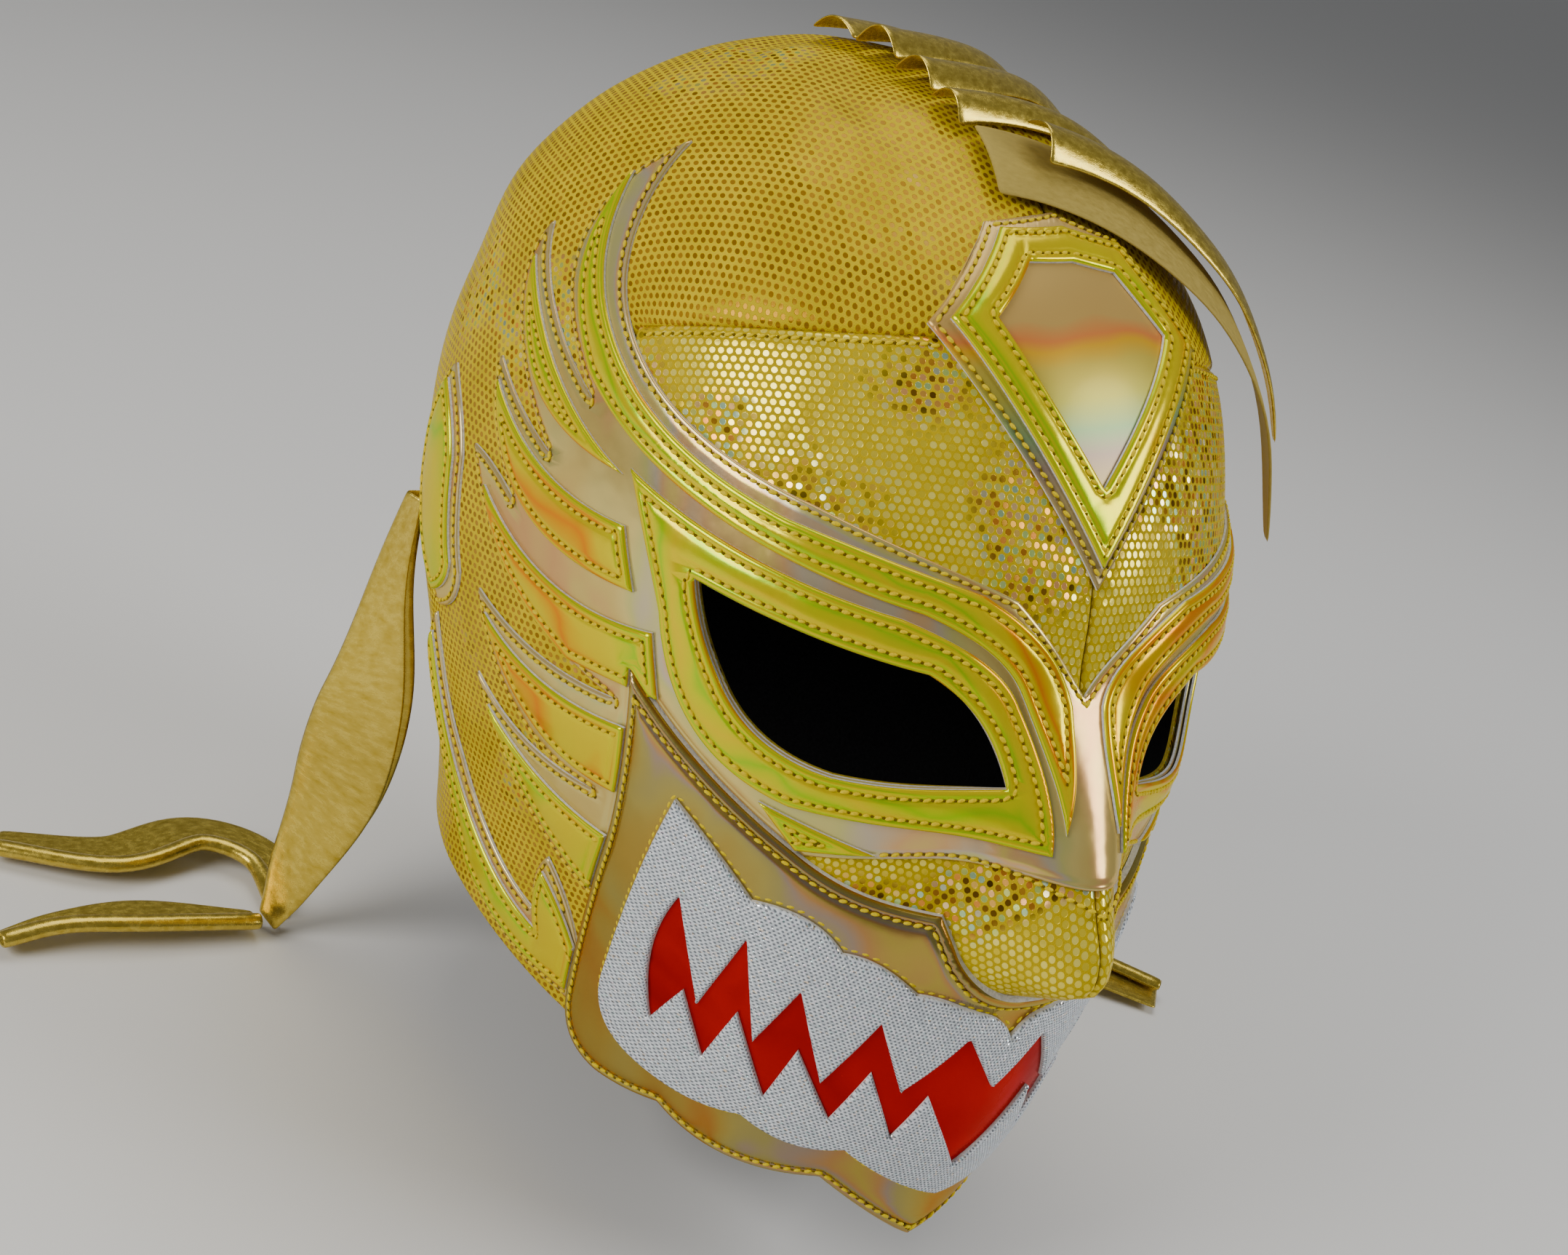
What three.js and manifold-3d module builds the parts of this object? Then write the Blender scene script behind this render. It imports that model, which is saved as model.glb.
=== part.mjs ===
// Lucha hood with sewn flames, forehead lozenge, fanged mouth, lame crest and ribbons.
// Millimetres, +Z up. The face looks along -Y and the wearer's left is +X.
// The origin is inside the crown, where the hood sits on the top of the head.
//
// A place on the hood is a turn and a drop. The turn is in degrees about the head's
// axis, 0 at the nose and positive towards the wearer's left. The drop is a share of
// hoodDrop, 0 at the crown and 1 at the hem. A lift is a height above the cloth.

import * as THREE from 'three';
import { mergeVertices } from 'three/addons/utils/BufferGeometryUtils.js';
import Module from 'manifold-3d';

const wasm = await Module();
wasm.setup();

// Driving sizes of the head form
const hoodDrop = 215;
const faceReach = 120;
const napeReach = 88;
const halfBreadth = 80;
const noseReach = 25;
const noseHalf = 15;

// Thicknesses of the sheets
const clothWall = 1.5;
const vinylWall = 1.0;
const mouthWall = 2.4;
const toothWall = 0.9;
const redWall = 0.7;
const lameWall = 1.0;

// Clearances
const layerGap = 0.3;
const seamGap = 0.3;

// Crest and ribbons
const lockWidth = 12;
const lockArch = 6;
const tailWidth = 26;
const ribbonWidth = 22;
const ribbonFold = 20;
const ribbonOut = 80;
const ribbonBack = 40;
const restDrop = 254;

// How finely curves and strips are divided
const curveSpan = 25;
const stripSteps = 5;
const acrossSteps = 4;

// Turns a table of plain rows into records with named columns.
function table(columns, rows) {
  return rows.map((row) => Object.fromEntries(columns.map((name, i) => [name, row[i]])));
}

// Level sections of the worn hood, as shares of faceReach, napeReach and halfBreadth.
// Fullness is the power of the section's rounded outline: 2 is an ellipse.
const sections = table(['drop', 'front', 'back', 'side', 'fullness'], [
  [0, 0, 0, 0, 2.2],
  [0.028, 0.24, 0.31, 0.32, 2.2],
  [0.102, 0.445, 0.565, 0.58, 2.2],
  [0.2, 0.65, 0.795, 0.805, 2.25],
  [0.29, 0.765, 0.93, 0.93, 2.25],
  [0.377, 0.85, 0.97, 0.97, 2.25],
  [0.47, 0.905, 1, 1, 2.25],
  [0.56, 0.935, 0.98, 0.995, 2.2],
  [0.665, 0.96, 0.93, 0.965, 2.1],
  [0.76, 1, 0.84, 0.9, 2],
  [0.85, 1.01, 0.76, 0.835, 1.9],
  [0.93, 1, 0.72, 0.79, 1.85],
  [1, 0.975, 0.7, 0.77, 1.8],
  [1.1, 0.965, 0.7, 0.76, 1.8],
]);

// The crown is flatter than its drops say: how much lower it lies, as a share of hoodDrop.
const crownSink = 0.055;
const crownFlat = table(['at', 'sink'], [
  [0, crownSink],
  [0.02, 0.042],
  [0.05, 0.03],
  [0.1, 0.013],
  [0.15, 0.005],
  [0.2, 0],
  [0.25, 0],
  [1.1, 0],
]);

// How far the nose stands out down the midline, as a share of noseReach.
const noseRidge = table(['drop', 'reach'], [
  [0.4, 0],
  [0.47, 0.02],
  [0.55, 0.42],
  [0.63, 0.82],
  [0.665, 1],
  [0.7, 0.93],
  [0.735, 0.45],
  [0.76, 0.08],
  [0.8, 0],
]);

// The hem's drop round the neck.
const hem = table(['turn', 'drop'], [
  [0, 1],
  [45, 1.01],
  [75, 0.995],
  [100, 0.975],
  [140, 0.955],
  [180, 0.95],
]);

// The facets' lines: close together over the nose, wider round the back.
const sideTurns = [0, 5, 11, 20, 31, 44, 58, 73, 90, 110, 132, 156, 180];
const turnLines = [...sideTurns.slice(1).reverse().map((turn) => -turn), ...sideTurns];
const hoodDrops = [0, 0.03, 0.1, 0.19, 0.29, 0.4, 0.5, 0.58, 0.65, 0.705, 0.755, 0.87, 1];
const chinDrop = 1.07;
const dropLines = [...hoodDrops, chinDrop];

// Outlines of the appliques on the wearer's left, from a first point round to its end.
// Each row is one edge: it ends at turn and drop, pulled towards its bend if it has one.
const edgeColumns = ['turn', 'drop', 'bendTurn', 'bendDrop'];

const eyeHole = table(edgeColumns, [
  [44, 0.462],
  [18, 0.468, 30, 0.466],
  [8, 0.552, 10.5, 0.49],
  [24, 0.583, 15, 0.573],
  [38, 0.535, 33, 0.585],
  [44, 0.462, 42, 0.5],
]);

const eyeRing = table(edgeColumns, [
  [57, 0.405],
  [47, 0.505, 51, 0.455],
  [27, 0.625, 41, 0.62],
  [4, 0.594, 16, 0.612],
  [8, 0.484, 3.5, 0.54],
  [22, 0.428, 11, 0.44],
  [57, 0.405, 42, 0.426],
]);

const browFlame = table(edgeColumns, [
  [3, 0.575],
  [8, 0.472, 3.6, 0.53],
  [20, 0.42, 11, 0.433],
  [46, 0.402, 36, 0.414],
  [70, 0.353, 60, 0.386],
  [86, 0.195, 86, 0.275],
  [60, 0.343, 77, 0.29],
  [36, 0.381, 50, 0.372],
  [14, 0.395, 24, 0.382],
  [2, 0.48, 4, 0.425],
  [3, 0.575, 1.5, 0.53],
]);

const flames = [
  table(edgeColumns, [[94, 0.3], [58, 0.414, 86, 0.43], [94, 0.3, 78, 0.385]]),
  table(edgeColumns, [[90, 0.42], [51, 0.503, 77, 0.54], [55, 0.453], [90, 0.42, 72, 0.474]]),
  table(edgeColumns, [[85, 0.515], [58, 0.603, 77, 0.58], [44, 0.585], [47, 0.528], [85, 0.515, 64, 0.57]]),
  table(edgeColumns, [[78, 0.63], [46, 0.702, 63, 0.725], [44, 0.66], [47, 0.63], [78, 0.63, 62, 0.66]]),
  table(edgeColumns, [[75, 0.725], [44, 0.838, 60, 0.81], [44, 0.756], [75, 0.725, 58, 0.765]]),
];

// The pearly under-layer of one side, from the bridge of the nose round its six tips.
const flameBase = table(edgeColumns, [
  [-1, 0.48],
  [0, 0.473],
  [10, 0.395, 4, 0.43],
  [34, 0.363, 18, 0.375],
  [60, 0.325, 50, 0.357],
  [82, 0.148, 77, 0.27],
  [68, 0.375, 98, 0.26],
  [96, 0.268, 86, 0.335],
  [72, 0.443, 100, 0.36],
  [93, 0.402, 84, 0.428],
  [77, 0.508, 92, 0.45],
  [92, 0.493, 85, 0.49],
  [50, 0.613, 78, 0.6],
  [82, 0.618, 64, 0.638],
  [49.5, 0.72, 69, 0.74],
  [80, 0.706, 66, 0.745],
  [43, 0.85, 64, 0.83],
  [40, 0.72],
  [28, 0.68],
  [12, 0.633, 20, 0.66],
  [-1, 0.64, 5, 0.612],
]);

const cheekSliver = table(edgeColumns, [[30, 0.632], [17.5, 0.645, 24, 0.637], [25, 0.665], [30, 0.632]]);

const earBase = table(edgeColumns, [
  [107, 0.45],
  [95, 0.52, 98, 0.478],
  [89, 0.625, 93, 0.585],
  [96, 0.685, 88, 0.665],
  [112, 0.575, 108, 0.66],
  [107, 0.45, 114, 0.5],
]);

const earFlame = table(edgeColumns, [
  [106.5, 0.466],
  [97, 0.525, 99.5, 0.49],
  [91.5, 0.622, 95, 0.588],
  [97, 0.67, 91, 0.65],
  [110, 0.575, 106.5, 0.648],
  [106.5, 0.466, 111.5, 0.505],
]);

const jawBase = table(edgeColumns, [
  [98, 0.7],
  [87, 0.83, 95.5, 0.785],
  [58.5, 0.922, 74, 0.912],
  [57, 0.845, 61, 0.878],
  [46, 0.94, 50, 0.875],
  [44, 0.985],
  [80, 0.957, 62, 1.0],
  [102, 0.77, 98, 0.865],
  [98, 0.7, 104, 0.73],
]);

const jawFlame = table(edgeColumns, [
  [98.6, 0.722],
  [88, 0.847, 96, 0.795],
  [56.5, 0.937, 74, 0.927],
  [57, 0.862, 59.4, 0.9],
  [44, 0.95, 50.5, 0.885],
  [44, 0.972],
  [80, 0.944, 62, 0.99],
  [100.5, 0.77, 96.5, 0.855],
  [98.6, 0.722, 102, 0.74],
]);

// Outlines of the appliques that cross the midline, from the midline down to it again.
const emblemBase = table(edgeColumns, [
  [0, 0.1],
  [17, 0.117],
  [26, 0.203],
  [0, 0.381, 11, 0.262],
]);

const emblemFrame = table(edgeColumns, [
  [0, 0.113],
  [14.5, 0.122],
  [23, 0.197],
  [0, 0.363, 11, 0.245],
]);

const emblemWindow = table(edgeColumns, [
  [0, 0.138],
  [9.5, 0.143],
  [16, 0.188],
  [0, 0.302, 7, 0.24],
]);

const mouthBorder = table(edgeColumns, [
  [0, 0.752],
  [8.5, 0.712, 6, 0.745],
  [10.5, 0.682],
  [25, 0.668, 17, 0.698],
  [48.5, 0.572, 38, 0.625],
  [46, 0.76, 45.5, 0.67],
  [47, 0.955, 47.5, 0.87],
  [38, 1.036, 47, 1.03],
  [28.5, 1.022, 33, 1.035],
  [10.5, 1.013, 20, 1.055],
  [0, 1.066, 6, 1.035],
]);

const teeth = table(edgeColumns, [
  [0, 0.797],
  [10, 0.76, 5, 0.745],
  [17.5, 0.742, 14, 0.735],
  [27, 0.725, 21, 0.71],
  [38, 0.663, 32, 0.69],
  [40.5, 0.9, 40, 0.76],
  [30, 0.982, 41, 0.975],
  [19.5, 0.966, 24, 0.988],
  [10, 0.955, 14, 0.985],
  [0, 0.998, 5, 0.982],
]);

const zigzag = table(edgeColumns, [
  [0, 0.855],
  [4, 0.8],
  [8, 0.87],
  [12, 0.8],
  [14.5, 0.888],
  [19.5, 0.795],
  [21.5, 0.876],
  [26, 0.765],
  [28, 0.868],
  [34, 0.757],
  [32.5, 0.918, 37, 0.84],
  [30, 0.862],
  [25.5, 0.925],
  [24, 0.852],
  [18.5, 0.933],
  [17.5, 0.862],
  [12.5, 0.926],
  [11, 0.857],
  [7, 0.925],
  [5.5, 0.87],
  [0, 0.953],
]);

// The red band under the toothed panel, seen through its zigzag cut.
const redBand = table(edgeColumns, [
  [0, 0.82],
  [4, 0.787],
  [20, 0.777],
  [34.5, 0.738],
  [37.3, 0.8],
  [34.5, 0.932],
  [10, 0.94],
  [0, 0.972],
]);

// The front panel of one side: under the forehead seam and in front of the flames.
const facePanel = table(edgeColumns, [
  [-2, 0.2],
  [26, 0.211, 12, 0.202],
  [66, 0.296, 50, 0.245],
  [56, 0.5, 65, 0.4],
  [46, 0.75, 48, 0.64],
  [45, 1.15],
  [-2, 1.15],
]);

// The crest's strips: each starts right of the centre seam and falls to the wearer's left.
// Width and arch are shares of lockWidth and lockArch; startLift and endLift of lockArch.
const lockColumns = ['name', 'startTurn', 'startDrop', 'bendTurn', 'bendDrop', 'endTurn', 'endDrop', 'width', 'arch', 'startLift', 'endLift'];
const crestLocks = table(lockColumns, [
  ['crest_lock_1', -136, 0.017, 144, 0.03, 128, 0.27, 1, 0.6, 0.18, 0.18],
  ['crest_lock_2', -92, 0.008, 117, 0.018, 113, 0.29, 1, 0.9, 0.25, 0.25],
  ['crest_lock_3', -43, 0.0136, 76, 0.02, 100, 0.21, 1, 0.9, 0.06, 0.06],
  ['crest_lock_4', -26, 0.032, 50, 0.038, 66, 0.21, 0.9, 0.8, 0.08, 0.08],
]);

// The two long pointed tails at the crest's front end; widths are shares of tailWidth.
const crestTails = table(lockColumns, [
  ['crest_tail_1', -15, 0.068, 21, 0.089, 52, 0.43, 0.77, 0.2, 0.2, 2.8],
  ['crest_tail_2', 0, 0.058, 30, 0.077, 53, 0.33, 0.48, 0.7, 0.8, 2.5],
]);

// Stations of the ribbons: out, back and down are shares of ribbonOut, ribbonBack and
// restDrop, width and fold of ribbonWidth and ribbonFold. The fold's crease points along
// creaseTurn, in degrees about the head's axis, or upwards where it is written as 'up'.
const stationColumns = ['out', 'back', 'down', 'width', 'fold'];
const ribbonFall = table(stationColumns, [
  [0.925, 0.795, 0.515, 0.2, 0.2],
  [0.89, 0.84, 0.61, 0.32, 0.49],
  [0.83, 0.72, 0.73, 0.45, 1.1],
  [0.84, 0.74, 0.84, 0.4, 1.15],
  [0.96, 0.82, 0.94, 0.3, 0.7],
  [1.04, 0.88, 0.99, 0.2, 0.3],
]);
const ribbonUpper = table(stationColumns, [
  [1.01, 1.0, 0.988, 0.25, 0.1],
  [0.99, 1.5, 0.98, 0.75, 0.15],
  [1.17, 1.75, 0.975, 0.85, 0.2],
  [1.45, 1.6, 0.98, 0.9, 0.15],
  [1.78, 1.85, 0.985, 0.6, 0.1],
]);
const ribbonLower = table(stationColumns, [
  [1.112, 0.87, 0.98, 0.4, 0.2],
  [1.45, 0.92, 0.975, 0.7, 0.25],
  [1.7, 0.92, 0.975, 0.45, 0.2],
  [1.88, 0.88, 0.985, 0.3, 0.1],
]);
const ribbonFar = table(stationColumns, [
  [1.07, 0.81, 0.985, 0.3, 0.15],
  [1.4, 0.38, 0.97, 0.72, 0.3],
  [1.72, -0.18, 0.978, 0.75, 0.2],
  [1.98, -0.65, 0.985, 0.6, 0.15],
]);

// Materials
function cloth(color, roughness, metalness) {
  return new THREE.MeshStandardMaterial({ color, roughness, metalness });
}
const faceKnit = cloth('#c9a41a', 0.45, 0.4);
const crownMesh = cloth('#9b7c12', 0.6, 0.25);
const pearlVinyl = cloth('#c9a77a', 0.2, 0.85);
const flameVinyl = cloth('#c8c411', 0.2, 0.8);
const goldVinyl = cloth('#b08c2c', 0.2, 0.9);
const toothFabric = cloth('#dcdde2', 0.6, 0.1);
const redVinyl = cloth('#a10d0d', 0.15, 0.1);
const lame = cloth('#b69c46', 0.35, 0.85);

// Smooth value of one column of a table, between the rows, by cubic pieces.
function smooth(rows, key, column, at) {
  const spread = key === 'drop' ? Math.sqrt : (value) => value;
  const x = rows.map((row) => spread(row[key]));
  const y = rows.map((row) => row[column]);
  const last = rows.length - 1;
  const place = Math.min(Math.max(spread(at), x[0]), x[last]);
  const slope = (i) => (y[i + 1] - y[i]) / (x[i + 1] - x[i]);
  const tangent = (i) => {
    if (i === 0) return slope(0);
    if (i === last) return slope(last - 1);
    const before = x[i] - x[i - 1];
    const after = x[i + 1] - x[i];
    return (slope(i - 1) * after + slope(i) * before) / (before + after);
  };
  let i = 0;
  while (i < last - 1 && place > x[i + 1]) i += 1;
  const step = x[i + 1] - x[i];
  const t = (place - x[i]) / step;
  const rise = (3 - 2 * t) * t * t;
  const lead = t * (1 - t) * (1 - t) * step;
  const trail = t * t * (t - 1) * step;
  return y[i] + rise * (y[i + 1] - y[i]) + lead * tangent(i) + trail * tangent(i + 1);
}

// A point of the cloth's outer face.
function clothPoint(turn, drop) {
  const angle = THREE.MathUtils.degToRad(turn);
  const ahead = Math.cos(angle);
  const aside = Math.sin(angle);
  const side = smooth(sections, 'drop', 'side', drop) * halfBreadth;
  const front = smooth(sections, 'drop', 'front', drop) * faceReach;
  const back = smooth(sections, 'drop', 'back', drop) * napeReach;
  const fullness = smooth(sections, 'drop', 'fullness', drop);
  const reach = ahead > 0 ? front : back;
  const level = clothWall - (drop + smooth(crownFlat, 'at', 'sink', drop) - crownSink) * hoodDrop;
  if (side === 0) return new THREE.Vector3(0, 0, level);
  const sum = Math.abs(aside / side) ** fullness + Math.abs(ahead / reach) ** fullness;
  const radius = sum ** (-1 / fullness);
  const x = radius * aside;
  const ridge = ahead > 0 ? noseReach * smooth(noseRidge, 'drop', 'reach', drop) : 0;
  const y = -radius * ahead - ridge * Math.exp(-((x / noseHalf) ** 2));
  return new THREE.Vector3(x, y, level);
}

// The outward direction of the cloth at a place.
const turnStep = 0.2;
const dropStep = 0.001;
function clothNormal(turn, drop) {
  if (drop < dropStep) return new THREE.Vector3(0, 0, 1);
  const along = clothPoint(turn + turnStep, drop).sub(clothPoint(turn - turnStep, drop));
  const down = clothPoint(turn, drop + dropStep).sub(clothPoint(turn, drop - dropStep));
  return down.cross(along).normalize();
}

// A point at a height above the cloth.
function hoodPoint(turn, drop, lift) {
  return clothPoint(turn, drop).addScaledVector(clothNormal(turn, drop), lift);
}

// The hem's drop at a turn.
function hemDrop(turn) {
  return smooth(hem, 'turn', 'drop', Math.abs(turn));
}

// A closed solid from triangles of points.
function solidOf(triangles) {
  const points = triangles.flat().flatMap((point) => [point.x, point.y, point.z]);
  const loose = new THREE.BufferGeometry();
  loose.setAttribute('position', new THREE.Float32BufferAttribute(points, 3));
  const joined = mergeVertices(loose, 1e-4);
  const index = Array.from(joined.index.array);
  const kept = [];
  for (let i = 0; i < index.length; i += 3) {
    const [a, b, c] = index.slice(i, i + 3);
    if (a !== b && b !== c && c !== a) kept.push(a, b, c);
  }
  const mesh = new wasm.Mesh({
    numProp: 3,
    vertProperties: Float32Array.from(joined.attributes.position.array),
    triVerts: Uint32Array.from(kept),
  });
  return new wasm.Manifold(mesh);
}

// The two facets of a grid's cell, split so that the two sides of the face are alike.
function facetPair(grid, r, c) {
  const [a, b] = [grid[r][c], grid[r + 1][c]];
  const [d, e] = [grid[r][c + 1], grid[r + 1][c + 1]];
  return d.x > 0 ? [[a, b, d], [d, b, e]] : [[a, b, e], [a, e, d]];
}

// A solid between two grids of points that face the same way.
function slabTriangles(outer, inner) {
  const rows = outer.length - 1;
  const columns = outer[0].length - 1;
  const triangles = [];
  const quad = (a, b, c, d) => triangles.push([a, b, c], [a, c, d]);
  for (let r = 0; r < rows; r += 1) {
    for (let c = 0; c < columns; c += 1) {
      triangles.push(...facetPair(outer, r, c));
      triangles.push(...facetPair(inner, r, c).map((facet) => facet.reverse()));
    }
  }
  for (let c = 0; c < columns; c += 1) {
    quad(outer[0][c], outer[0][c + 1], inner[0][c + 1], inner[0][c]);
    quad(outer[rows][c + 1], outer[rows][c], inner[rows][c], inner[rows][c + 1]);
  }
  for (let r = 0; r < rows; r += 1) {
    quad(outer[r + 1][0], outer[r][0], inner[r][0], inner[r + 1][0]);
    quad(outer[r][columns], outer[r + 1][columns], inner[r + 1][columns], inner[r][columns]);
  }
  return triangles;
}

// A layer of the hood between two lifts, over some of the facets' lines.
function layer(turns, drops, innerLift, outerLift) {
  const grid = (lift) => drops.map((drop) => turns.map((turn) => hoodPoint(turn, drop * hemDrop(turn), lift)));
  return solidOf(slabTriangles(grid(outerLift), grid(innerLift)));
}

// The facets' lines that cover a range.
function linesOver(lines, from, to) {
  return lines.filter((line, i) => (lines[i + 1] ?? Infinity) > from && (lines[i - 1] ?? -Infinity) < to);
}

// The points of an outline, each curve divided by its length.
function outlinePoints(rows) {
  const points = [new THREE.Vector2(rows[0].turn, rows[0].drop)];
  for (const row of rows.slice(1)) {
    const start = points.at(-1);
    const end = new THREE.Vector2(row.turn, row.drop);
    if (row.bendTurn === undefined) {
      points.push(end);
    } else {
      const bend = new THREE.Vector2(row.bendTurn, row.bendDrop);
      const length = clothPoint(start.x, start.y).distanceTo(clothPoint(end.x, end.y));
      const steps = Math.max(2, Math.round(length / curveSpan));
      points.push(...new THREE.QuadraticBezierCurve(start, bend, end).getPoints(steps).slice(1));
    }
  }
  return points;
}

// The closed ring of an outline on one side, side being 1 for left and -1 for right.
function sideRing(rows, side) {
  return closedRing(outlinePoints(rows).map((point) => new THREE.Vector2(point.x * side, point.y)));
}

// The closed ring of an outline that crosses the midline.
function midRing(rows) {
  const left = outlinePoints(rows);
  const right = left.slice(1, -1).reverse().map((point) => new THREE.Vector2(-point.x, point.y));
  return closedRing([...left, ...right]);
}

// Drops a repeated end point and makes the ring run one way round.
function closedRing(points) {
  const open = points[0].distanceTo(points.at(-1)) < 1e-6 ? points.slice(0, -1) : points;
  return THREE.ShapeUtils.area(open) < 0 ? open.reverse() : open;
}

// Where a ring meets the cloth: each point's foot and the cloth's direction there.
// Growing moves the feet outwards along the cloth by that many millimetres.
const mitreLimit = 4;
function ringFeet(ring, grow) {
  const normals = ring.map((point) => clothNormal(point.x, point.y));
  const seats = ring.map((point) => clothPoint(point.x, point.y));
  return seats.map((seat, i) => {
    const last = seats[(i + ring.length - 1) % ring.length];
    const next = seats[(i + 1) % ring.length];
    const before = normals[i].clone().cross(seat.clone().sub(last)).normalize();
    const after = normals[i].clone().cross(next.clone().sub(seat)).normalize();
    const middle = before.clone().add(after).normalize();
    const stretch = Math.min(1 / middle.dot(before), mitreLimit);
    return { foot: seat.clone().addScaledVector(middle, grow * stretch), normal: normals[i] };
  });
}

// Points over a ring's feet at a lift.
function lifted(feet, lift) {
  return feet.map(({ foot, normal }) => foot.clone().addScaledVector(normal, lift));
}

// The walls between two closed rings of points.
function wallTriangles(low, high) {
  return low.flatMap((point, i) => {
    const next = (i + 1) % low.length;
    return [[point, high[i], high[next]], [point, high[next], low[next]]];
  });
}

// The closed space over and under a ring, its walls square to the cloth near the cloth.
const coreShare = 0.3;
const farShare = 3;
const wallDepth = 5;
const wallHeight = 7;
function columnOver(ring, grow = 0) {
  const core = new THREE.Vector3(0, (napeReach - faceReach) / 2, clothWall - (0.5 - crownSink) * hoodDrop);
  const feet = ringFeet(ring, grow);
  const levels = [
    feet.map(({ foot }) => core.clone().lerp(foot, coreShare)),
    lifted(feet, -wallDepth),
    lifted(feet, wallHeight),
    feet.map(({ foot }) => core.clone().lerp(foot, farShare)),
  ];
  const triangles = levels.slice(1).flatMap((high, i) => wallTriangles(levels[i], high));
  const [low, high] = [levels[0], levels.at(-1)];
  for (const [a, b, c] of THREE.ShapeUtils.triangulateShape(ring, [])) {
    triangles.push([low[a], low[b], low[c]], [high[a], high[c], high[b]]);
  }
  return solidOf(triangles);
}

// A layer of the hood cut to a ring.
function applique(ring, innerLift, outerLift, grow = 0) {
  const turns = ring.map((point) => point.x);
  const drops = ring.map((point) => point.y);
  const lines = linesOver(turnLines, Math.min(...turns) - 1, Math.max(...turns) + 1);
  const rows = linesOver(dropLines, Math.min(...drops) - 0.02, Math.max(...drops) + 0.04);
  return layer(lines, rows, innerLift, outerLift).intersect(columnOver(ring, grow));
}

// The exported object
const hood = new THREE.Group();

function addPiece(name, solid, material) {
  const mesh = solid.getMesh ? solid.getMesh() : solid;
  const geometry = new THREE.BufferGeometry();
  geometry.setAttribute('position', new THREE.BufferAttribute(Float32Array.from(mesh.vertProperties), 3));
  geometry.setIndex(new THREE.BufferAttribute(Uint32Array.from(mesh.triVerts), 1));
  geometry.computeVertexNormals();
  const piece = new THREE.Mesh(geometry, material);
  piece.name = name;
  hood.add(piece);
}

// Half of space on one side of the centre seam.
function halfBlock(side) {
  const length = 4 * hoodDrop;
  const block = new THREE.BoxGeometry(length, length, length);
  block.translate(side * (length / 2 + seamGap / 2), 0, 0);
  const corners = block.toNonIndexed().attributes.position;
  const triangles = [];
  for (let i = 0; i < corners.count; i += 3) {
    triangles.push([0, 1, 2].map((k) => new THREE.Vector3().fromBufferAttribute(corners, i + k)));
  }
  return solidOf(triangles);
}

const sides = [
  { side: 1, word: 'left' },
  { side: -1, word: 'right' },
];

// Lifts of the layers, from the cloth up
const baseLift = layerGap;
const flameLift = baseLift + vinylWall + layerGap;
const mouthTop = baseLift + mouthWall;
const redLift = mouthTop + layerGap;
const toothLift = redLift + redWall + layerGap;

const mouthRing = midRing(mouthBorder);
const mouthColumn = columnOver(mouthRing, layerGap);

// The four cloth panels, with the eye holes cut through
const eyeClearance = 0.6;
for (const { side, word } of sides) {
  const turns = sideTurns.map((turn) => turn * side).sort((a, b) => a - b);
  const half = layer(turns, hoodDrops, -clothWall, 0).intersect(halfBlock(side));
  const faceRing = sideRing(facePanel, side);
  const eye = columnOver(sideRing(eyeHole, side), eyeClearance);
  addPiece(`face_panel_${word}`, half.intersect(columnOver(faceRing)).subtract(eye), faceKnit);
  addPiece(`crown_panel_${word}`, half.subtract(columnOver(faceRing, seamGap)), crownMesh);
}

// The pearly under-layer: one sheet across the bridge of the nose
const bothSides = sides.map(({ side }) => columnOver(sideRing(flameBase, side)));
const bothEyes = sides.map(({ side }) => columnOver(sideRing(eyeHole, side), eyeClearance / 2));
const baseTurns = linesOver(turnLines, -100, 100);
const baseDrops = linesOver(dropLines, 0.14, 0.87);
const baseSheet = layer(baseTurns, baseDrops, baseLift, baseLift + vinylWall)
  .intersect(bothSides[0].add(bothSides[1]))
  .subtract(bothEyes[0].add(bothEyes[1]))
  .subtract(mouthColumn);
addPiece('flame_base', baseSheet, pearlVinyl);

// The yellow top layers of each side
for (const { side, word } of sides) {
  const top = (rows) => applique(sideRing(rows, side), flameLift, flameLift + vinylWall);
  const under = (rows) => applique(sideRing(rows, side), baseLift, baseLift + vinylWall);
  addPiece(`eye_ring_${word}`, top(eyeRing).subtract(columnOver(sideRing(eyeHole, side))), flameVinyl);
  addPiece(`brow_flame_${word}`, top(browFlame), flameVinyl);
  flames.forEach((rows, i) => addPiece(`side_flame_${i + 1}_${word}`, top(rows).subtract(mouthColumn), flameVinyl));
  addPiece(`cheek_sliver_${word}`, top(cheekSliver).subtract(mouthColumn), flameVinyl);
  addPiece(`ear_base_${word}`, under(earBase), pearlVinyl);
  addPiece(`ear_flame_${word}`, top(earFlame), flameVinyl);
  addPiece(`jaw_base_${word}`, under(jawBase).subtract(mouthColumn), pearlVinyl);
  addPiece(`jaw_flame_${word}`, top(jawFlame).subtract(mouthColumn), flameVinyl);
}

// The forehead lozenge
addPiece('emblem_base', applique(midRing(emblemBase), baseLift, baseLift + vinylWall), pearlVinyl);
const windowColumn = columnOver(midRing(emblemWindow));
const frameSheet = applique(midRing(emblemFrame), flameLift, flameLift + vinylWall);
addPiece('emblem_frame', frameSheet.subtract(windowColumn), flameVinyl);

// The mouth: a padded border sheet, a red band, and the toothed panel with its zigzag cut
const toothSheet = applique(midRing(teeth), toothLift, toothLift + toothWall);
addPiece('mouth_border', applique(mouthRing, baseLift, mouthTop), goldVinyl);
addPiece('red_band', applique(midRing(redBand), redLift, redLift + redWall), redVinyl);
addPiece('tooth_panel', toothSheet.subtract(columnOver(midRing(zigzag))), toothFabric);

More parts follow.
